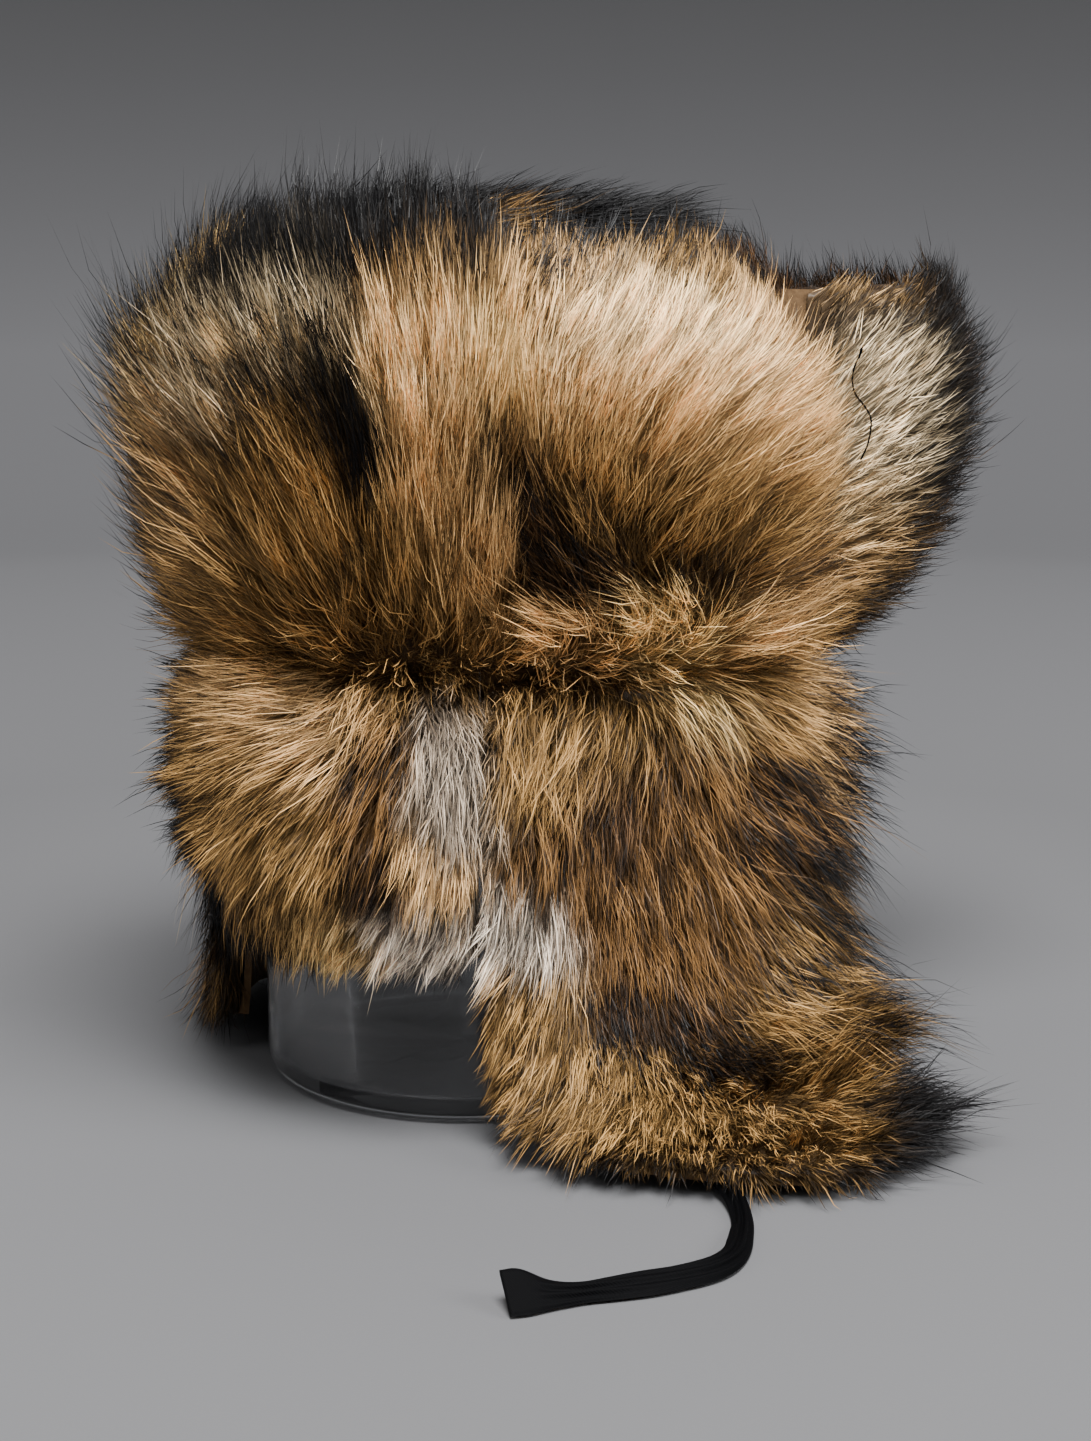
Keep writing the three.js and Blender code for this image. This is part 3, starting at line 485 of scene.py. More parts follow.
def grain_group():
    """Fine noise of one size, as a value and a normal, for hides and cloth."""
    tree = bpy.data.node_groups.new("Grain", "ShaderNodeTree")
    add_sockets(tree, "INPUT", [("Size", "Float", 900.0), ("Depth", "Float", 0.0002)])
    add_sockets(tree, "OUTPUT", [("Value", "Float", None), ("Normal", "Vector", None)])
    given = node(tree, "NodeGroupInput")
    place = node(tree, "ShaderNodeTexCoord").outputs["Object"]
    cloud = node(tree, "ShaderNodeTexNoise", {"Vector": place, "Scale": given.outputs["Size"], "Detail": 6.0})
    bump = node(tree, "ShaderNodeBump", {"Height": cloud.outputs["Fac"], "Distance": given.outputs["Depth"]})
    node(tree, "NodeGroupOutput", {"Value": cloud.outputs["Fac"], "Normal": bump.outputs["Normal"]})
    return tree


# Along a hair, from 0 at its root to 1 at its tip
ROOT_ENDS = 0.04
BAND_BEGINS_PAST_ROOT = 0.22
BLACK_BEGINS = 0.78
BLACK_BEGINS_SOONER = 0.3
BLACK_FADE = (-0.06, 0.12)
# How much of its band's colour a hair's root has, and how bright the band is for small and large chances
ROOT_TINT = 0.16
PLAIN_CHANCES = (0.15, 0.8)
BAND_BRIGHTNESS = (0.16, 2.05)
# A tip share is stretched by this before it is set against a hair's chance, and hairs near it are partly black
TIP_STRETCH = 1.25
PARTLY_BLACK = (-0.1, 0.12)
LEAST_ROUGHNESS = 0.36
ADDED_ROUGHNESS = 0.16


def ranged(tree, value, before, after=(0.0, 1.0), **settings):
    """A value moved from one range to another."""
    inputs = {
        "Value": value, "From Min": before[0], "From Max": before[1], "To Min": after[0], "To Max": after[1],
    }
    return node(tree, "ShaderNodeMapRange", inputs, **settings).outputs[0]


def blended(tree, share, first, second):
    """A colour between two others, as a vector."""
    return node(tree, "ShaderNodeMix", {0: share, 4: first, 5: second}, data_type="VECTOR").outputs[1]


def banded_hair_group():
    """The colour along a hair: a dark root, partly the hair's own dark base and partly painted shade deep in
    the coat, a coloured band, and a tip that may be black.
    """
    tree = bpy.data.node_groups.new("Banded hair", "ShaderNodeTree")
    add_sockets(tree, "INPUT", [
        ("Along", "Float", 0.5),
        ("Band", "Color", (0.4, 0.3, 0.2, 1)),
        ("Chance", "Float", 0.5),
        ("Shade", "Float", 1.0),
        ("Tip Share", "Float", 0.5),
        ("Root Share", "Float", 0.24),
        ("Root", "Color", (0.02, 0.014, 0.01, 1)),
        ("Tip", "Color", (0.008, 0.007, 0.008, 1)),
    ])
    add_sockets(tree, "OUTPUT", [("Color", "Color", None), ("Roughness", "Float", None)])
    given = node(tree, "NodeGroupInput").outputs
    brightness = ranged(tree, given["Chance"], PLAIN_CHANCES, BAND_BRIGHTNESS)
    # The band is darkened by the layer's shade: on the fine layer partly the underfur's own darker colour and
    # partly painted shade under the guard hairs
    band = scaled(tree, given["Band"], number(tree, "MULTIPLY", brightness, given["Shade"]))
    # Partly the hair's own dark base and partly painted shade: the root is much darker than the band
    root = vector(tree, "ADD", scaled(tree, given["Band"], ROOT_TINT), given["Root"])
    band_begins = number(tree, "ADD", given["Root Share"], BAND_BEGINS_PAST_ROOT)
    rise = ranged(tree, given["Along"], (ROOT_ENDS, band_begins), interpolation_type="SMOOTHSTEP")
    lower = blended(tree, rise, root, band)
    # A tip is black on the share of hairs whose chance is under it, from further down where the share is large
    stretched = number(tree, "MULTIPLY", given["Tip Share"], TIP_STRETCH)
    dark = ranged(tree, number(tree, "SUBTRACT", stretched, given["Chance"]), PARTLY_BLACK)
    begins = number(tree, "MULTIPLY_ADD", given["Tip Share"], -BLACK_BEGINS_SOONER, BLACK_BEGINS)
    fade = ranged(tree, number(tree, "SUBTRACT", given["Along"], begins), BLACK_FADE)
    colour = blended(tree, number(tree, "MULTIPLY", dark, fade), lower, given["Tip"])
    rough = number(tree, "MULTIPLY_ADD", given["Chance"], ADDED_ROUGHNESS, LEAST_ROUGHNESS)
    node(tree, "NodeGroupOutput", {"Color": colour, "Roughness": rough})
    return tree


def fur_material(colour_of_tips, hair_group):
    """Hair that reads its band, its tips and its place along the hair from the mesh."""
    material, tree, shader = new_material("banded_fur")
    along = node(tree, "ShaderNodeAttribute", attribute_name="along").outputs["Fac"]
    band = node(tree, "ShaderNodeAttribute", attribute_name="band").outputs["Color"]
    ends = node(tree, "ShaderNodeAttribute", attribute_name="ends").outputs["Vector"]
    split = node(tree, "ShaderNodeSeparateXYZ", {"Vector": ends}).outputs
    inputs = {
        "Along": along, "Band": band, "Tip Share": split["X"], "Chance": split["Y"], "Shade": split["Z"],
        "Tip": (*linear(colour_of_tips), 1),
    }
    hair = node(tree, "ShaderNodeGroup", inputs, node_tree=hair_group).outputs
    feed(tree, shader, {
        "Base Color": hair["Color"], "Roughness": hair["Roughness"], "Specular IOR Level": 0.14,
    })
    return material


def grained(tree, grain, size, depth):
    """The grain group in a material, with its own size and depth."""
    return node(tree, "ShaderNodeGroup", {"Size": size, "Depth": depth}, node_tree=grain).outputs


def two_tones(tree, factor, dark, light):
    """A colour between two colours."""
    values = {6: (*linear(dark), 1), 7: (*linear(light), 1), 0: factor}
    return node(tree, "ShaderNodeMix", values, data_type="RGBA").outputs[2]


def suede_material(grain):
    """The bare side of a pelt, its brown darkened as painted shade for the bare hide in the crease beside the
    visor.
    """
    material, tree, shader = new_material("hide_suede")
    fine = grained(tree, grain, 420.0, 0.4 * MM)
    feed(tree, shader, {
        "Base Color": two_tones(tree, fine["Value"], SUEDE_DARK, SUEDE_LIGHT),
        "Normal": fine["Normal"],
        "Roughness": 0.92,
        "Specular IOR Level": 0.2,
    })
    return material


def cotton_material(grain, colour):
    """Matt black cotton with a fine twill."""
    material, tree, shader = new_material("black_cotton")
    place = node(tree, "ShaderNodeTexCoord").outputs["UV"]
    waves = {"Vector": place, "Scale": 9.0, "Distortion": 0.4}
    twill = node(tree, "ShaderNodeTexWave", waves, bands_direction="DIAGONAL")
    fine = grained(tree, grain, 1500.0, 0.1 * MM)
    bump = node(tree, "ShaderNodeBump", {
        "Height": twill.outputs["Fac"], "Distance": 0.12 * MM, "Strength": 0.6, "Normal": fine["Normal"],
    })
    light = tuple(c + RIBBON_SHEEN for c in colour)
    feed(tree, shader, {
        "Base Color": two_tones(tree, fine["Value"], colour, light),
        "Normal": bump.outputs["Normal"],
        "Roughness": 0.6,
        "Specular IOR Level": 0.03,
    })
    return material


def acrylic_material():
    """Clear acrylic with faint wiping marks, tinted grey as painted shade for the dark inside of the hat seen
    through it.
    """
    material, tree, shader = new_material("clear_acrylic")
    place = node(tree, "ShaderNodeTexCoord").outputs["Object"]
    stretched = node(tree, "ShaderNodeMapping", {"Vector": place, "Scale": (20.0, 20.0, 160.0)}).outputs[0]
    noise = {"Vector": stretched, "Scale": 1.0, "Detail": 4.0}
    marks = node(tree, "ShaderNodeTexNoise", noise).outputs["Fac"]
    feed(tree, shader, {
        "Roughness": ranged(tree, marks, (0.0, 1.0), (0.01, 0.07)),
        # Painted shade: the grey tint darkens the clear acrylic to stand for the shade inside the hat behind
        # it
        "Base Color": (0.66, 0.67, 0.68, 1),
        "Transmission Weight": 1.0,
        "Alpha": 0.7,
        "IOR": 1.49,
    })
    return material


# The strands

def strand_mesh(name, rows):
    """A flat strand as a template: one point at its root, two at each row and one at its tip."""
    points = [(0, 0, 0)]
    for along in rows:
        points += [(-0.5, along, 0), (0.5, along, 0)]
    tip = len(points)
    points.append((0, 1, 0))
    faces = [(0, 2, 1), (tip - 2, tip - 1, tip)]
    faces += [(k, k + 1, k + 3, k + 2) for k in range(1, tip - 2, 2)]
    mesh = bpy.data.meshes.new(name)
    mesh.from_pydata(points, [], faces)
    keep_values(mesh, "along", "FLOAT", [p[1] for p in points])
    keep_values(mesh, "across", "FLOAT", [p[0] for p in points])
    return mesh


# What each random draw of a layer adds to its seed
DRAWS = {
    "hairs": 0, "locks": 11, "lock way": 23, "lock chance": 31, "length": 41, "stray": 43, "own way": 47,
    "rise": 53, "twist": 59, "width": 61, "wave": 67, "tone": 71,
}
# The least of a share and what a whole chance adds to it
LENGTH_LEAST, LENGTH_ADDED = 0.72, 0.5
WIDTH_LEAST, WIDTH_ADDED = 0.7, 0.6
RISE_LEAST, RISE_ADDED = 0.8, 0.4
# A hair whose chance is over the first of these strays: it is longer and rises more by the others
STRAY_ABOVE = 0.965
STRAY_LONGER = 0.3
STRAY_RISE = 0.35
# How far loose hair leaves its lay alone and with its lock, and how far it waves
TIDY_SCATTER = 0.4
LOCK_SWAY = 0.55
WAVE_LEAST, WAVE_LOOSE = 0.03, 0.12
WAVE_TURN = 5.2
TWIST = 0.8
LOCK_TONE, HAIR_TONE = 0.4, 0.6
# Hair closes in on its lock towards the tip, and is narrower there by a share of its width
GATHER_POWER = 1.4
TAPER = 0.6
# No hair goes lower than this height. The other two are out of reach, so they hold nothing back
LOWEST = {"X": -10.0, "Y": -10.0, "Z": 0.6 * MM}


def strand_layer():
    """Grows one layer of strands, gathered in locks, on the pad of a pelt."""
    tree = bpy.data.node_groups.new("Strand layer", "GeometryNodeTree")
    add_sockets(tree, "INPUT", [
        ("Pad", "Geometry", None),
        ("Strand", "Object", None),
        ("Density", "Float", 1000.0),
        ("Lock Density", "Float", 100.0),
        ("Width", "Float", 0.0005),
        ("Length Share", "Float", 1.0),
        ("Rise Share", "Float", 1.0),
        ("Scatter", "Float", 0.1),
        ("Gather", "Float", 0.5),
        ("Tip Share", "Float", 1.0),
        ("Shade", "Float", 1.0),
        ("Seed", "Int", 1),
    ])
    add_sockets(tree, "OUTPUT", [("Strands", "Geometry", None)])
    given = node(tree, "NodeGroupInput").outputs

    def times(first, second):
        return number(tree, "MULTIPLY", first, second)

    def plus(least, added, share):
        return number(tree, "MULTIPLY_ADD", share, added, least)

    def seed(draw):
        return number(tree, "ADD", given["Seed"], float(DRAWS[draw]))

    def spread(density, draw):
        dense = times(density, read_named(tree, "growth"))
        inputs = {"Mesh": given["Pad"], "Density": dense, "Seed": seed(draw)}
        return node(tree, "GeometryNodeDistributePointsOnFaces", inputs).outputs["Points"]

    def chance(draw):
        return node(tree, "FunctionNodeRandomValue", {"Seed": seed(draw)}, data_type="FLOAT").outputs[1]

    def any_way(draw):
        inputs = {0: (-1, -1, -1), 1: (1, 1, 1), "Seed": seed(draw)}
        return node(tree, "FunctionNodeRandomValue", inputs, data_type="FLOAT_VECTOR").outputs[0]

    points = spread(given["Density"], "hairs")
    locks = spread(given["Lock Density"], "locks")
    place = node(tree, "GeometryNodeInputPosition").outputs[0]
    sample = {"Geometry": locks, "Sample Position": place}
    nearest = node(tree, "GeometryNodeSampleNearest", sample).outputs[0]

    def of_lock(value, kind):
        inputs = {"Geometry": locks, "Value": value, "Index": nearest}
        return node(tree, "GeometryNodeSampleIndex", inputs, data_type=kind).outputs[0]

    lock_place = of_lock(place, "FLOAT_VECTOR")
    lock_way = of_lock(any_way("lock way"), "FLOAT_VECTOR")
    lock_chance = of_lock(chance("lock chance"), "FLOAT")
    loose = read_named(tree, "loose")
    lay = read_named(tree, "lay", "FLOAT_VECTOR")
    lift = read_named(tree, "lift", "FLOAT_VECTOR")
    length = times(read_named(tree, "length"), given["Length Share"])
    length = times(length, plus(LENGTH_LEAST, LENGTH_ADDED, chance("length")))
    stray = number(tree, "GREATER_THAN", chance("stray"), STRAY_ABOVE)
    length = times(length, plus(1.0, STRAY_LONGER, stray))
    scatter = times(given["Scatter"], number(tree, "ADD", loose, TIDY_SCATTER))
    own_way = scaled(tree, any_way("own way"), scatter)
    shared_way = scaled(tree, lock_way, times(loose, LOCK_SWAY))
    way = vector(tree, "ADD", vector(tree, "ADD", lay, own_way), shared_way)
    stalk = scaled(tree, way, length)
    rise = times(given["Rise Share"], plus(RISE_LEAST, RISE_ADDED, lock_chance))
    rise = times(rise, plus(RISE_LEAST, RISE_ADDED, chance("rise")))
    lifted = scaled(tree, lift, plus(rise, STRAY_RISE, stray))
    pull = scaled(tree, vector(tree, "SUBTRACT", lock_place, place), given["Gather"])
    twisted = vector(tree, "ADD", vector(tree, "NORMALIZE", lift), scaled(tree, any_way("twist"), TWIST))
    side = vector(tree, "NORMALIZE", vector(tree, "CROSS_PRODUCT", stalk, twisted))
    width = times(given["Width"], plus(WIDTH_LEAST, WIDTH_ADDED, chance("width")))
    wave = scaled(tree, any_way("wave"), times(length, plus(WAVE_LEAST, WAVE_LOOSE, loose)))
    tone = number(tree, "ADD", times(lock_chance, LOCK_TONE), times(chance("tone"), HAIR_TONE))
    tip = times(read_named(tree, "tip"), given["Tip Share"])
    ends = node(tree, "ShaderNodeCombineXYZ", {"X": tip, "Y": tone, "Z": given["Shade"]}).outputs[0]
    kept = {
        "root": place, "stalk": stalk, "lifted": lifted, "pull": pull, "side": scaled(tree, side, width),
        "wave": wave, "ends": ends,
    }
    for name, value in kept.items():
        points = keep_named(tree, points, name, value, "FLOAT_VECTOR")
    strand = node(tree, "GeometryNodeObjectInfo", {"Object": given["Strand"]}).outputs["Geometry"]
    strands = node(tree, "GeometryNodeInstanceOnPoints", {"Points": points, "Instance": strand}).outputs[0]
    strands = node(tree, "GeometryNodeRealizeInstances", {"Geometry": strands}).outputs[0]

    along = read_named(tree, "along")
    squared = times(along, along)
    taper = number(tree, "SUBTRACT", 1.0, times(squared, TAPER))
    # Each part of a hair's bend, and how much of it there is at a point along the hair
    bends = {
        "stalk": along,
        "lifted": number(tree, "SUBTRACT", times(along, 2.0), squared),
        "pull": number(tree, "POWER", along, GATHER_POWER),
        "wave": number(tree, "SINE", times(along, WAVE_TURN)),
        "side": times(read_named(tree, "across"), taper),
    }
    bent = read_named(tree, "root", "FLOAT_VECTOR")
    for name, amount in bends.items():
        bent = vector(tree, "ADD", bent, scaled(tree, read_named(tree, name, "FLOAT_VECTOR"), amount))
    bent = vector(tree, "MAXIMUM", bent, node(tree, "ShaderNodeCombineXYZ", LOWEST).outputs[0])
    strands = node(tree, "GeometryNodeSetPosition", {"Geometry": strands, "Position": bent}).outputs[0]
    node(tree, "NodeGroupOutput", {"Strands": strands})
    return tree


# A layer of a pelt's hair: its strand, the input that gives its density, its shares of the hair's width,
# length and rise, how it scatters and gathers, its share of black tips, how bright it is, and what it adds to
# the seed
Layer = namedtuple("Layer", "strand density width length rise scatter gather tip shade seed")


def pelt_tree(layer, fine_strand, guard_strand):
    """The pad of a pelt with its fine hair and its longer guard hairs."""
    tree = bpy.data.node_groups.new("Pelt", "GeometryNodeTree")
    add_sockets(tree, "INPUT", [
        ("Pad", "Geometry", None),
        ("Fine Density", "Float", 1000.0),
        ("Guard Density", "Float", 1000.0),
        ("Lock Density", "Float", 100.0),
        ("Hair Width", "Float", 0.0005),
        ("Seed", "Int", 1),
        ("Material", "Material", None),
    ])
    add_sockets(tree, "OUTPUT", [("Pelt", "Geometry", None)])
    given = node(tree, "NodeGroupInput").outputs
    layers = [
        # The fine layer's low shade darkens the underfur: partly its own darker colour and partly painted
        # shade under the guard hairs
        Layer(fine_strand, "Fine Density", 1.2, 0.74, 0.84, 0.28, 0.6, 0.5, 0.33, 0),
        Layer(guard_strand, "Guard Density", 1.0, 1.0, 1.08, 0.17, 0.85, 1.0, 1.0, 100),
    ]
    made = [given["Pad"]]
    for row in layers:
        grown = node(tree, "GeometryNodeGroup", {
            "Pad": given["Pad"],
            "Density": given[row.density],
            "Lock Density": given["Lock Density"],
            "Width": number(tree, "MULTIPLY", given["Hair Width"], row.width),
            "Seed": number(tree, "ADD", given["Seed"], float(row.seed)),
            "Strand": row.strand,
            "Length Share": row.length,
            "Rise Share": row.rise,
            "Scatter": row.scatter,
            "Gather": row.gather,
            "Tip Share": row.tip,
            "Shade": row.shade,
        }, node_tree=layer)
        made.append(grown.outputs["Strands"])
    whole = node(tree, "GeometryNodeJoinGeometry")
    for part in made:
        tree.links.new(part, whole.inputs[0])
    real = node(tree, "GeometryNodeRealizeInstances", {"Geometry": whole.outputs[0]}).outputs[0]
    dressed = {"Geometry": real, "Material": given["Material"]}
    finished = node(tree, "GeometryNodeSetMaterial", dressed).outputs[0]
    node(tree, "NodeGroupOutput", {"Pelt": finished})
    return tree


# A patch's weight beyond its reach, and the power that sets how sharply one patch gives way to the next
FAR_WEIGHT = 1e-9
PATCH_CRISPNESS = 1.3


def around_hat(places):
    """The angle round the hat of each place, in degrees, as the pelts' patches have it."""
    across = places[:, 0] / HEAD_WIDTH
    along = (places[:, 1] + HAT_SETBACK) / HEAD_LENGTH
    return np.degrees(np.arctan2(-across, along))


def patch_values(pelt, places):
    """What each place of a pelt has of its patches: one array for each column."""
    angle = around_hat(places)
    height = places[:, 2]
    weights = []
    for patch in pelt.patches:
        turn = (angle - patch.angle + 180) % 360 - 180
        aside = np.radians(turn) * HAT_RADIUS / (patch.across * MM)
        above = (height - patch.height * MM) / (patch.tall * MM)
        away = aside ** 2 + above ** 2
        weights.append(np.exp(-0.5 * away) + FAR_WEIGHT / (1 + away))
    weights = np.array(weights) ** PATCH_CRISPNESS
    weights /= weights.sum(axis=0)
    lay = np.radians([patch.lay for patch in pelt.patches])
    columns = {
        "rising": np.cos(lay),
        "turning": np.sin(lay),
        "length": np.array([patch.length * MM for patch in pelt.patches]),
        "tip": np.array([patch.tip for patch in pelt.patches]),
        "loose": np.array([patch.loose for patch in pelt.patches]),
    }
    values = {name: column @ weights for name, column in columns.items()}
    bands = np.array([linear(COLOURS[patch.band]) for patch in pelt.patches])
    values["band"] = weights.T @ bands
    return values


PAD_SMOOTHING = 0.5
PAD_SMOOTH_ROUNDS = 14
# Hair starts where the fur is this deep, is dense where it is deeper by the second, and has its whole length
# at the third. It is never shorter than the last, a share of that length
BARE_DEPTH = 1.5 * MM
THINNING_DEPTH = 4 * MM
WHOLE_DEPTH = 16 * MM
SHORTEST_SHARE = 0.4
# Hair grows only on a pad's outer side, which faces away from its hide by more than the first of these, and is
# dense where it does so by the second more
OUTER_FACING = 0.05
OUTER_FADE = 0.3
# Where the coat faces up or down so far that its lay keeps less than this share, its hair stands out
FLAT_ENOUGH = 0.7
# Where along a hair most of it shows, how far its tip may pass the coat's solid, and the length past which it
# may go further, by a share of what it has over that
SHOWN_SHARE = 0.6
TIP_BEYOND = 4 * MM
LONG_HAIR = 24 * MM
LONG_HAIR_BEYOND = 0.9
# The pad itself is coloured as a hair is near its root, dark with a low shade: partly the underfur's own
# colour and partly painted shade deep in the coat
PAD_ALONG = 0.06
PAD_ENDS = (0.0, 0.3, 0.3)
TINY = 1e-6


def lengths(ways):
    """The length of each row of an array."""
    return np.linalg.norm(ways, axis=1)


def pad_mesh(pelt, sizes):
    """A closed pad under a pelt's fur, with what each of its points needs to grow hair."""
    skin = joined_copy(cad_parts[pelt.node], pelt.piece)
    made = put_in_scene(pelt.piece, skin)
    remesh = made.modifiers.new("even", "REMESH")
    remesh.mode = "VOXEL"
    remesh.voxel_size = sizes.pad_grain
    remesh.use_smooth_shade = True
    smooth = made.modifiers.new("smooth", "SMOOTH")
    smooth.factor = PAD_SMOOTHING
    smooth.iterations = PAD_SMOOTH_ROUNDS
    mesh = settled(made, pelt.piece)
    under = search_tree(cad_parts[pelt.hide].data)
    outside = search_tree(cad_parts[pelt.node].data)
    coat, _ = corners(mesh)
    feet = np.array([tuple(under.find_nearest(Vector(p))[0]) for p in coat])
    depth = coat - feet
    thickness = lengths(depth)
    padded = feet + depth * sizes.pad_share
    mesh.vertices.foreach_set("co", padded.ravel())
    mesh.update()
    padded, normals = corners(mesh)
    facing = (depth * normals).sum(axis=1) / np.maximum(thickness, TINY)
    growth = np.clip((thickness - BARE_DEPTH) / THINNING_DEPTH, 0, 1)
    growth = growth * np.clip((facing - OUTER_FACING) / OUTER_FADE, 0, 1)
    values = patch_values(pelt, coat)
    up = np.array(tuple(pelt.up))[None, :]
    up = up - normals * (normals * up).sum(axis=1)[:, None]
    level = lengths(up)
    up /= np.maximum(level, TINY)[:, None]
    around = np.cross(up, normals)
    lay = up * values["rising"][:, None] + around * values["turning"][:, None]
    lay /= np.maximum(lengths(lay), TINY)[:, None]
    flatness = np.clip(level / FLAT_ENOUGH, 0, 1)[:, None]
    lay = lay * flatness + normals * (1 - flatness)
    # A hair's colour is the colour of the place where most of it shows
    shown = patch_values(pelt, coat + lay * values["length"][:, None] * SHOWN_SHARE)
    lift = normals * (thickness * (1 - sizes.pad_share))[:, None]
    length = values["length"] * np.clip(thickness / WHOLE_DEPTH, SHORTEST_SHARE, 1)
    beyond = np.maximum(TIP_BEYOND, LONG_HAIR_BEYOND * (values["length"] - LONG_HAIR))
    room = room_shares(outside, padded, lay * length[:, None] + lift, beyond)
    keep_values(mesh, "lay", "FLOAT_VECTOR", lay)
    keep_values(mesh, "lift", "FLOAT_VECTOR", lift * room[:, None])
    keep_values(mesh, "length", "FLOAT", length * room)
    keep_values(mesh, "growth", "FLOAT", growth)
    keep_values(mesh, "loose", "FLOAT", values["loose"])
    keep_values(mesh, "tip", "FLOAT", shown["tip"])
    keep_values(mesh, "along", "FLOAT", np.full(len(growth), PAD_ALONG))
    keep_values(mesh, "ends", "FLOAT_VECTOR", np.tile(PAD_ENDS, (len(growth), 1)))
    keep_values(mesh, "band", "FLOAT_COLOR", np.column_stack([shown["band"], np.ones(len(growth))]))
    return made, growing_area(mesh, growth)


def search_tree(mesh):
    """A tree that finds the places of a mesh nearest a point or along a ray."""
    work = bmesh.new()
    work.from_mesh(mesh)
    tree = BVHTree.FromBMesh(work)
    work.free()
    return tree


# How far past its root a hair's ray starts, so that it doesn't meet the pad's own place
ROOT_CLEARANCE = 0.2 * MM


def room_shares(tree, roots, hairs, beyond):
    """How much of each hair fits in the coat's solid before its tip stands out too far."""
    shares = np.ones(len(roots))
    for i, (root, hair, past) in enumerate(zip(roots, hairs, beyond)):
        length = float(np.linalg.norm(hair))
        if length < MM:
            continue
        way = Vector(hair / length)
        distance = tree.ray_cast(Vector(root) + way * ROOT_CLEARANCE, way)[3]
        if distance is not None:
            shares[i] = min(1.0, (distance + past) / length)
    return shares


def growing_area(mesh, growth):
    """The area of a pad that grows hair, in square metres."""
    area = np.empty(len(mesh.polygons))
    mesh.polygons.foreach_get("area", area)
    first = np.empty(len(mesh.polygons), dtype=np.int32)
    mesh.polygons.foreach_get("loop_start", first)
    loops = np.empty(len(mesh.loops), dtype=np.int32)
    mesh.loops.foreach_get("vertex_index", loops)
    return float((area * growth[loops[first]]).sum())


def set_input(modifier, tree, name, value):
    """Sets a modifier's input by its socket's identifier."""
    for socket in tree.interface.items_tree:
        if socket.item_type == "SOCKET" and socket.in_out == "INPUT" and socket.name == name:
            modifier[socket.identifier] = value


# The values that only the growing reads, so a grown pelt has no need of them
GROWING_ONLY = [
    "lay", "lift", "length", "growth", "loose", "tip", "root", "stalk", "lifted", "pull", "side", "wave",
    "across",
]


def grow_pelt(pelt, tree, material, sizes, seed):
    """One pelt's pad and hair as one plain mesh."""
    made, area = pad_mesh(pelt, sizes)
    share = 1.0
    modifier = made.modifiers.new("fur", "NODES")
    modifier.node_group = tree
    set_input(modifier, tree, "Fine Density", pelt.fine * THOUSAND * share / area)
    set_input(modifier, tree, "Guard Density", pelt.guard * THOUSAND * share / area)
    set_input(modifier, tree, "Lock Density", 1 / sizes.lock_width ** 2)
    set_input(modifier, tree, "Hair Width", sizes.hair_width)
    set_input(modifier, tree, "Seed", seed)
    set_input(modifier, tree, "Material", material)
    mesh = settled(made, pelt.piece)
    for name in GROWING_ONLY:
        if name in mesh.attributes:
            mesh.attributes.remove(mesh.attributes[name])
    dress(made, material, "fur", pelt.node)


# Settings, operators and panel

class UshankaSizes(bpy.types.PropertyGroup):
    """Sizes that someone would change."""
    hair_width: bpy.props.FloatProperty(
        name="Hair width", description="Width of a hair at its widest",
        default=0.31 * MM, subtype="DISTANCE", precision=4)
    lock_width: bpy.props.FloatProperty(
        name="Lock width", description="Distance between locks of hair",
        default=5 * MM, subtype="DISTANCE", precision=4)
    pad_share: bpy.props.FloatProperty(
        name="Pad share", description="How much of the fur's depth its pad fills",
        default=0.45, min=0.1, max=0.9)
    pad_grain: bpy.props.FloatProperty(
        name="Pad grain", description="Size of the pads' faces",
        default=4.5 * MM, subtype="DISTANCE", precision=4)
    quick_share: bpy.props.FloatProperty(
        name="Quick share", description="Share of the hair in a quick look", default=0.3, min=0.05, max=1)
    tie_width: bpy.props.FloatProperty(
        name="Tie width", description="Width of the ribbon tie",
        default=15 * MM, subtype="DISTANCE", precision=4)
    tie_thickness: bpy.props.FloatProperty(
        name="Tie thickness", description="Thickness of the ribbon tie",
        default=1.3 * MM, subtype="DISTANCE", precision=4)
    stand_wall: bpy.props.FloatProperty(
        name="Stand wall", description="Thickness of the stand's wall",
        default=3 * MM, subtype="DISTANCE", precision=4)


class UshankaColours(bpy.types.PropertyGroup):
    """Colours that someone would change."""
    tips: bpy.props.FloatVectorProperty(
        name="Hair tips", description="Colour of the dark tips",
        default=COLOURS["black"], size=3, subtype="COLOR_GAMMA")
    ribbon: bpy.props.FloatVectorProperty(
        name="Ribbon", description="Colour of the tie", default=RIBBON_BLACK, size=3, subtype="COLOR_GAMMA")
    floor: bpy.props.FloatVectorProperty(
        name="Floor", description="Colour of the studio floor",
        default=FLOOR_GREY, size=3, subtype="COLOR_GAMMA")


class USHANKA_OT_studio(bpy.types.Operator):
    """Makes the camera, the floor with its sweep and the soft lights"""
    bl_idname = "ushanka.studio"
    bl_label = "Studio"

    def execute(self, context):
        make_camera()
        make_sweep(context.scene.ushanka_colours.floor)
        make_lights()
        return {"FINISHED"}


class USHANKA_OT_tie(bpy.types.Operator):
    """Makes the ribbon tie of the right ear flap"""
    bl_idname = "ushanka.tie"
    bl_label = "Tie"

    def execute(self, context):
        cotton = cotton_material(shared_grain(), context.scene.ushanka_colours.ribbon)
        make_tie(context.scene.ushanka_sizes, cotton)
        return {"FINISHED"}


class USHANKA_OT_thread(bpy.types.Operator):
    """Makes the loose thread beside the visor"""
    bl_idname = "ushanka.thread"
    bl_label = "Loose thread"

    def execute(self, context):
        make_thread(cotton_material(shared_grain(), context.scene.ushanka_colours.ribbon))
        return {"FINISHED"}


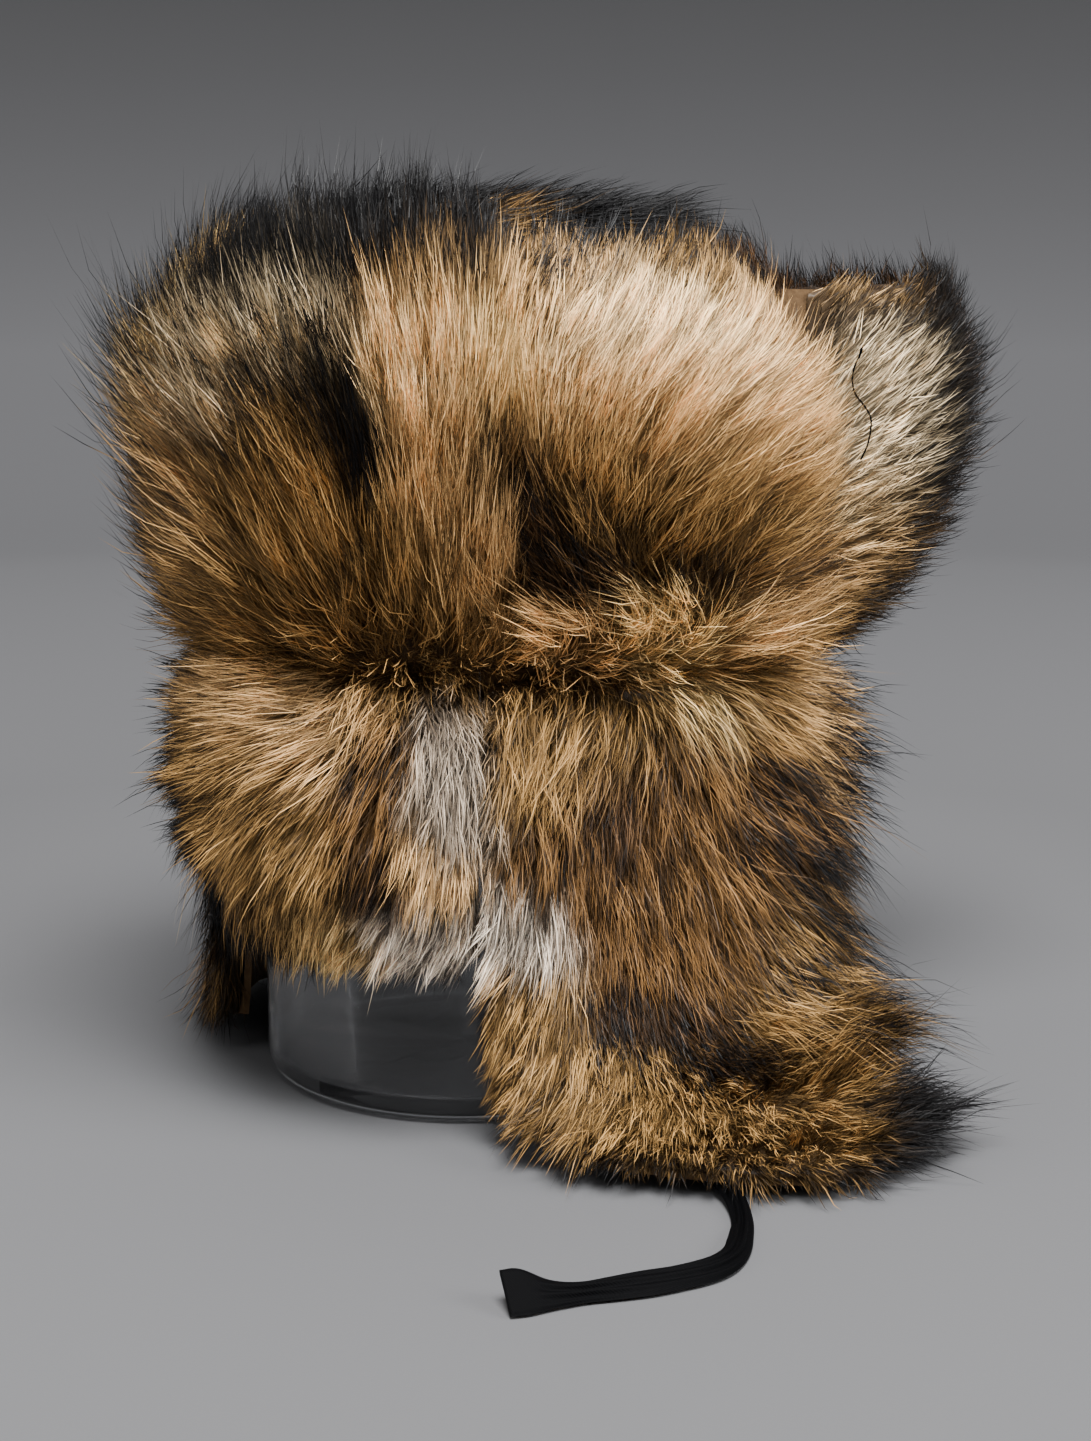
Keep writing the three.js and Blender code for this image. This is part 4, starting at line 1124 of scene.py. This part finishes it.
class USHANKA_OT_stand(bpy.types.Operator):
    """Makes the clear stand"""
    bl_idname = "ushanka.stand"
    bl_label = "Stand"

    def execute(self, context):
        make_stand(context.scene.ushanka_sizes)
        return {"FINISHED"}


class USHANKA_OT_hides(bpy.types.Operator):
    """Gives the bare sides of the pelts their suede"""
    bl_idname = "ushanka.hides"
    bl_label = "Hides"

    def execute(self, context):
        suede = suede_material(shared_grain())
        for name in HIDES:
            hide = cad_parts[name]
            hide.data.materials.clear()
            hide.data.materials.append(suede)
        return {"FINISHED"}


class USHANKA_OT_fur(bpy.types.Operator):
    """Grows the fur of every pelt"""
    bl_idname = "ushanka.fur"
    bl_label = "Fur"

    def execute(self, context):
        sizes = context.scene.ushanka_sizes
        material = fur_material(context.scene.ushanka_colours.tips, banded_hair_group())
        fine = put_in_scene("fine_strand", strand_mesh("fine_strand", FINE_ROWS))
        guard = put_in_scene("guard_strand", strand_mesh("guard_strand", GUARD_ROWS))
        tree = pelt_tree(strand_layer(), fine, guard)
        for index, pelt in enumerate(PELTS):
            grow_pelt(pelt, tree, material, sizes, SEED_STEP * index + 1)
        for template in (fine, guard):
            bpy.data.objects.remove(template)
        return {"FINISHED"}


class USHANKA_PT_panel(bpy.types.Panel):
    """Lists the pieces of the ushanka"""
    bl_idname = "USHANKA_PT_panel"
    bl_label = "Ushanka"
    bl_space_type = "VIEW_3D"
    bl_region_type = "UI"
    bl_category = "Ushanka"

    def draw(self, context):
        for operator in OPERATORS:
            self.layout.operator(operator.bl_idname)
        for group in (context.scene.ushanka_sizes, context.scene.ushanka_colours):
            for name in group.__annotations__:
                self.layout.prop(group, name)


OPERATORS = [
    USHANKA_OT_studio, USHANKA_OT_tie, USHANKA_OT_thread, USHANKA_OT_stand, USHANKA_OT_hides, USHANKA_OT_fur,
]
CLASSES = [UshankaSizes, UshankaColours, *OPERATORS, USHANKA_PT_panel]


# The studio

def make_camera():
    """The camera stands where the photograph's did."""
    turn = math.radians(CAMERA_TURN)
    tilt = math.radians(CAMERA_TILT)
    way = Vector((math.sin(turn) * math.cos(tilt), math.cos(turn) * math.cos(tilt), -math.sin(tilt)))
    data = bpy.data.cameras.new("camera")
    data.lens = CAMERA_LENS
    data.sensor_fit = "VERTICAL"
    data.sensor_height = FILM_LONG_SIDE
    camera = put_in_scene("camera", data)
    camera.location = CAMERA_PLACE
    camera.rotation_euler = way.to_track_quat("-Z", "Y").to_euler()
    bpy.context.scene.camera = camera


FLOOR_RADIUS = 1.5
SWEEP_RADIUS = 1.0
WALL_TOP = 3.2
SWEEP_STEPS = 15
SWEEP_TURNS = 72
# Painted light and painted shade: the paper's own grey is even, but it is painted paler between the first two
# distances from the stand and darker between the last two, standing in for how the light falls across the
# floor and up the backdrop
PAINTED_LIGHT_SPAN = (0.5, 1.4)
PAINTED_LIGHT_SHARE = 1.34
PAINTED_SHADE_SPAN = (2.05, 2.58)
PAINTED_SHADE_SHARE = 0.82


def make_sweep(colour):
    """A round floor that sweeps up into a backdrop all the way round."""
    profile = [(0.0, 0.0), (0.5, 0.0), (1.0, 0.0), (FLOOR_RADIUS, 0.0)]
    profile += arc((FLOOR_RADIUS, SWEEP_RADIUS), SWEEP_RADIUS, -90, 0, SWEEP_STEPS)
    profile.append((FLOOR_RADIUS + SWEEP_RADIUS, WALL_TOP))
    mesh = bpy.data.meshes.new("sweep")
    mesh.from_pydata(turned_points(profile, SWEEP_TURNS), [], ring_faces(len(profile), SWEEP_TURNS))
    work = bmesh.new()
    work.from_mesh(mesh)
    bmesh.ops.remove_doubles(work, verts=work.verts, dist=MM)
    work.to_mesh(mesh)
    work.free()
    mesh.shade_smooth()
    floor = put_in_scene("sweep", mesh)
    material, tree, shader = new_material("studio_paper")
    place = node(tree, "ShaderNodeTexCoord").outputs["Object"]
    away = node(tree, "ShaderNodeVectorMath", {0: place}, operation="LENGTH").outputs["Value"]
    # Painted light and painted shade: paler paper away from the stand, darker paper high on the backdrop
    pale = tuple(c * PAINTED_LIGHT_SHARE for c in colour)
    dark = tuple(c * PAINTED_SHADE_SHARE for c in colour)
    paper = two_tones(tree, ranged(tree, away, PAINTED_LIGHT_SPAN), tuple(colour), pale)
    inputs = {6: paper, 7: (*linear(dark), 1), 0: ranged(tree, away, PAINTED_SHADE_SPAN)}
    paper = node(tree, "ShaderNodeMix", inputs, data_type="RGBA").outputs[2]
    cloud = node(tree, "ShaderNodeTexNoise", {"Vector": place, "Scale": 900.0, "Detail": 3.0}).outputs["Fac"]
    bump = node(tree, "ShaderNodeBump", {"Height": cloud, "Distance": 0.15 * MM, "Strength": 0.4})
    feed(tree, shader, {"Base Color": paper, "Normal": bump.outputs["Normal"], "Roughness": 0.85})
    floor.data.materials.append(material)


# A lamp: its name, how far it is from the hat's middle to the camera's right, towards the camera and up, the
# size of its square and its power
Lamp = namedtuple("Lamp", "name right towards up size power")
LAMPS = [
    Lamp("key", 0.08, 0.7, 1.45, 0.75, 88.0),
    Lamp("side", 1.5, 0.7, 0.8, 0.9, 30.0),
    Lamp("fill", -1.3, 0.5, 0.8, 1.0, 9.0),
    Lamp("top", -0.2, -0.6, 1.6, 1.1, 12.0),
]
# The height that the lamps are turned to
LIT_HEIGHT = 0.15
WORLD_STRENGTH = 0.22


def make_lights():
    """A large soft key above the camera, a weak light on each side and a light from above."""
    camera = Vector(CAMERA_PLACE)
    towards = Vector((camera.x, camera.y, 0)).normalized()
    right = Vector((-towards.y, towards.x, 0))
    target = Vector((0, -HAT_SETBACK, LIT_HEIGHT))
    for lamp in LAMPS:
        data = bpy.data.lights.new(lamp.name, "AREA")
        data.size = lamp.size
        data.energy = lamp.power
        made = put_in_scene(lamp.name, data)
        made.location = target + (right * lamp.right + towards * lamp.towards + UP * lamp.up)
        made.rotation_euler = (target - made.location).to_track_quat("-Z", "Y").to_euler()
    world = bpy.data.worlds.new("studio")
    world.use_nodes = True
    tree = world.node_tree
    feed(tree, tree.nodes["Background"], {"Color": (*WORLD_GREY, 1), "Strength": WORLD_STRENGTH})
    bpy.context.scene.world = world


def shared_grain():
    """The grain group, made once."""
    return bpy.data.node_groups.get("Grain") or grain_group()


# The tie

def smooth_line(values, steps):
    """A smooth line through every row of an array, with some steps between each two."""
    values = np.asarray(values, dtype=float)
    padded = np.vstack([2 * values[0] - values[1], values, 2 * values[-1] - values[-2]])
    line = []
    for i in range(1, len(padded) - 2):
        a, b, c, d = padded[i - 1:i + 3]
        for k in range(steps):
            t = k / steps
            squared = (2 * a - 5 * b + 4 * c - d) * t ** 2
            cubed = (3 * b - a - 3 * c + d) * t ** 3
            line.append(0.5 * (2 * b + (c - a) * t + squared + cubed))
    line.append(values[-1])
    return np.array(line)


TIE_STEPS = 6
TIE_SIDE_POINTS = 20
# How high the pleats would stand if the ribbon were folded to nothing, how many of them cross it, how far they
# shift from one row to the next, and how much of them shows on the underside
PLEAT_HEIGHT = 3.2 * MM
PLEAT_WAVES = 3
PLEAT_SHIFT = 0.13
PLEAT_BELOW = 0.3
# The ribbon's edges are round, and its cloth has this share of the tie's thickness
EDGE_POWER = 8
FLAT_SHARE = 0.85
WEAVE_REPEAT = 0.6


def pleated_section(turned, width, thick):
    """Places across the ribbon and heights over its middle, once round its section."""
    pleat = (1 - width) * PLEAT_HEIGHT
    upper = []
    lower = []
    for k in range(TIE_SIDE_POINTS):
        share = 2 * k / (TIE_SIDE_POINTS - 1) - 1
        fold = pleat * (0.5 + 0.5 * math.cos(share * math.pi * PLEAT_WAVES + turned)) * (1 - share ** 2)
        edge = thick / 2 * math.sqrt(max(1 - share ** EDGE_POWER, 0.0)) * FLAT_SHARE
        upper.append((share, edge + fold))
        lower.append((share, -edge + fold * PLEAT_BELOW))
    return upper + lower[::-1]


def make_tie(sizes, cotton):
    """The ribbon, folded lengthwise into soft pleats where it is narrow."""
    rows = smooth_line([(s.x, s.y, s.rise, s.lean, s.width) for s in TIE_ROUTE], TIE_STEPS)
    places = rows[:, :2] * MM + np.array([0, -HAT_SETBACK])
    half = sizes.tie_width / 2
    thick = sizes.tie_thickness
    points = []
    for i, (_, _, rise, lean, width) in enumerate(rows):
        before = places[max(i - 1, 0)]
        after = places[min(i + 1, len(places) - 1)]
        along = (after - before) / np.linalg.norm(after - before)
        tilt = math.radians(lean)
        across = np.array([-along[1], along[0], 0])
        wide = across * math.cos(tilt) - np.array([0, 0, math.sin(tilt)])
        face = across * math.sin(tilt) + np.array([0, 0, math.cos(tilt)])
        height = TIE_FLOOR_GAP + rise * MM + math.sin(tilt) * half * width + thick / 2 * math.cos(tilt)
        middle = np.array([*places[i], height])
        section = pleated_section(i * PLEAT_SHIFT, width, thick)
        points += [middle + wide * (share * half * width) + face * over for share, over in section]
    count = 2 * TIE_SIDE_POINTS
    faces = ring_faces(len(rows), count) + end_faces(len(rows), count)
    mesh = mesh_of("ribbon_tie", points, faces)
    layer = mesh.uv_layers.new(name="ribbon")
    for loop in mesh.loops:
        row, k = divmod(loop.vertex_index, count)
        across = min(k, count - 1 - k) / TIE_SIDE_POINTS
        layer.data[loop.index].uv = (row / TIE_STEPS * WEAVE_REPEAT, across)
    tie = put_in_scene("ribbon_tie", mesh)
    dress(tie, cotton, "ribbon", "tie_right")


# The loose thread in the crease beside the visor: angles round the hat, and distances out and heights in mm

Place = namedtuple("Place", "angle out height")
THREAD_ROUTE = [
    Place(118.2, 38.5, 255),
    Place(118.0, 39.5, 258),
    Place(117.3, 39.5, 258.5),
    Place(117.2, 39, 256),
    Place(116.8, 37.5, 252),
    Place(116.7, 37, 248),
    Place(117.1, 38, 243),
    Place(118.1, 41, 238.5),
    Place(118.4, 43, 234.5),
    Place(118.5, 43, 230),
    Place(118.5, 42, 225),
    Place(118.2, 40, 220),
]
THREAD_RADIUS = 0.32 * MM
THREAD_STEPS = 5
THREAD_SIDES = 6
# A way that the thread never takes, from which the sides of its section are measured
THREAD_ASIDE = (0.57, 0.57, 0.57)


def place_on_hat(step):
    """A place from its angle round the hat, its distance out from the head's oval and its height."""
    turn = math.radians(step.angle)
    across = HEAD_WIDTH / 2 * math.sin(turn)
    along = HEAD_LENGTH / 2 * math.cos(turn)
    grow = 1 + step.out * MM / math.hypot(across, along)
    return (-across * grow, along * grow - HAT_SETBACK, step.height * MM)


def make_thread(cotton):
    """A thin dark thread with a small hook at its end, stuck in the fur."""
    line = smooth_line([place_on_hat(step) for step in THREAD_ROUTE], THREAD_STEPS)
    points = []
    for i, middle in enumerate(line):
        along = line[min(i + 1, len(line) - 1)] - line[max(i - 1, 0)]
        along /= np.linalg.norm(along)
        first = np.cross(along, THREAD_ASIDE)
        first /= np.linalg.norm(first)
        second = np.cross(along, first)
        for k in range(THREAD_SIDES):
            turn = 2 * math.pi * k / THREAD_SIDES
            points.append(middle + THREAD_RADIUS * (math.cos(turn) * first + math.sin(turn) * second))
    faces = ring_faces(len(line), THREAD_SIDES) + end_faces(len(line), THREAD_SIDES)
    thread = put_in_scene("loose_thread", mesh_of("loose_thread", points, faces))
    dress(thread, cotton, "ribbon")


# The stand

STAND_FOOT_ROUNDING = 7 * MM
STAND_WAIST_HEIGHT = 76 * MM
STAND_RIM_INSET = 5 * MM
STAND_FLOOR = 8 * MM
STAND_TURNS = 128
STAND_ROUND_STEPS = 6


def make_stand(sizes):
    """The clear cup, turned finely from the same profile as its solid."""
    low, high = (Vector(corner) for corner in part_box("stand"))
    radius = (high.x - low.x) / 2
    foot = STAND_FOOT_ROUNDING
    wall = sizes.stand_wall
    rim = radius - STAND_RIM_INSET
    edge = high.z - wall / 2
    rings = [(radius - foot, 0)]
    rings += arc((radius - foot, foot), foot, -90, 0, STAND_ROUND_STEPS)
    rings += [(radius, STAND_WAIST_HEIGHT), (rim, edge)]
    rings += arc((rim - wall / 2, edge), wall / 2, 0, 180, STAND_ROUND_STEPS)
    rings += [(radius - wall, STAND_WAIST_HEIGHT), (radius - wall, STAND_FLOOR + wall)]
    rings += arc((radius - 2 * wall, STAND_FLOOR + wall), wall, 0, -90, STAND_ROUND_STEPS)
    middles = [(0, 0, 0), (0, 0, STAND_FLOOR)]
    first = len(middles)
    last = first + (len(rings) - 1) * STAND_TURNS
    faces = ring_faces(len(rings), STAND_TURNS, first)
    for k in range(STAND_TURNS):
        after = (k + 1) % STAND_TURNS
        faces += [(0, first + k, first + after), (1, last + after, last + k)]
    points = middles + turned_points(rings, STAND_TURNS)
    stand = put_in_scene("clear_stand", mesh_of("clear_stand", points, faces))
    dress(stand, acrylic_material(), "acrylic", "stand")


def register():
    """Registers the classes and puts their settings on the scene."""
    for group in CLASSES:
        bpy.utils.register_class(group)
    bpy.types.Scene.ushanka_sizes = bpy.props.PointerProperty(type=UshankaSizes)
    bpy.types.Scene.ushanka_colours = bpy.props.PointerProperty(type=UshankaColours)


def unregister():
    """Takes the settings and the classes away again."""
    del bpy.types.Scene.ushanka_colours
    del bpy.types.Scene.ushanka_sizes
    for group in reversed(CLASSES):
        bpy.utils.unregister_class(group)


def main():
    """Registers the classes and makes every piece in order."""
    register()
    bpy.ops.ushanka.studio()
    bpy.ops.ushanka.tie()
    bpy.ops.ushanka.thread()
    bpy.ops.ushanka.stand()
    bpy.ops.ushanka.hides()
    bpy.ops.ushanka.fur()


if __name__ == "__main__":
    main()
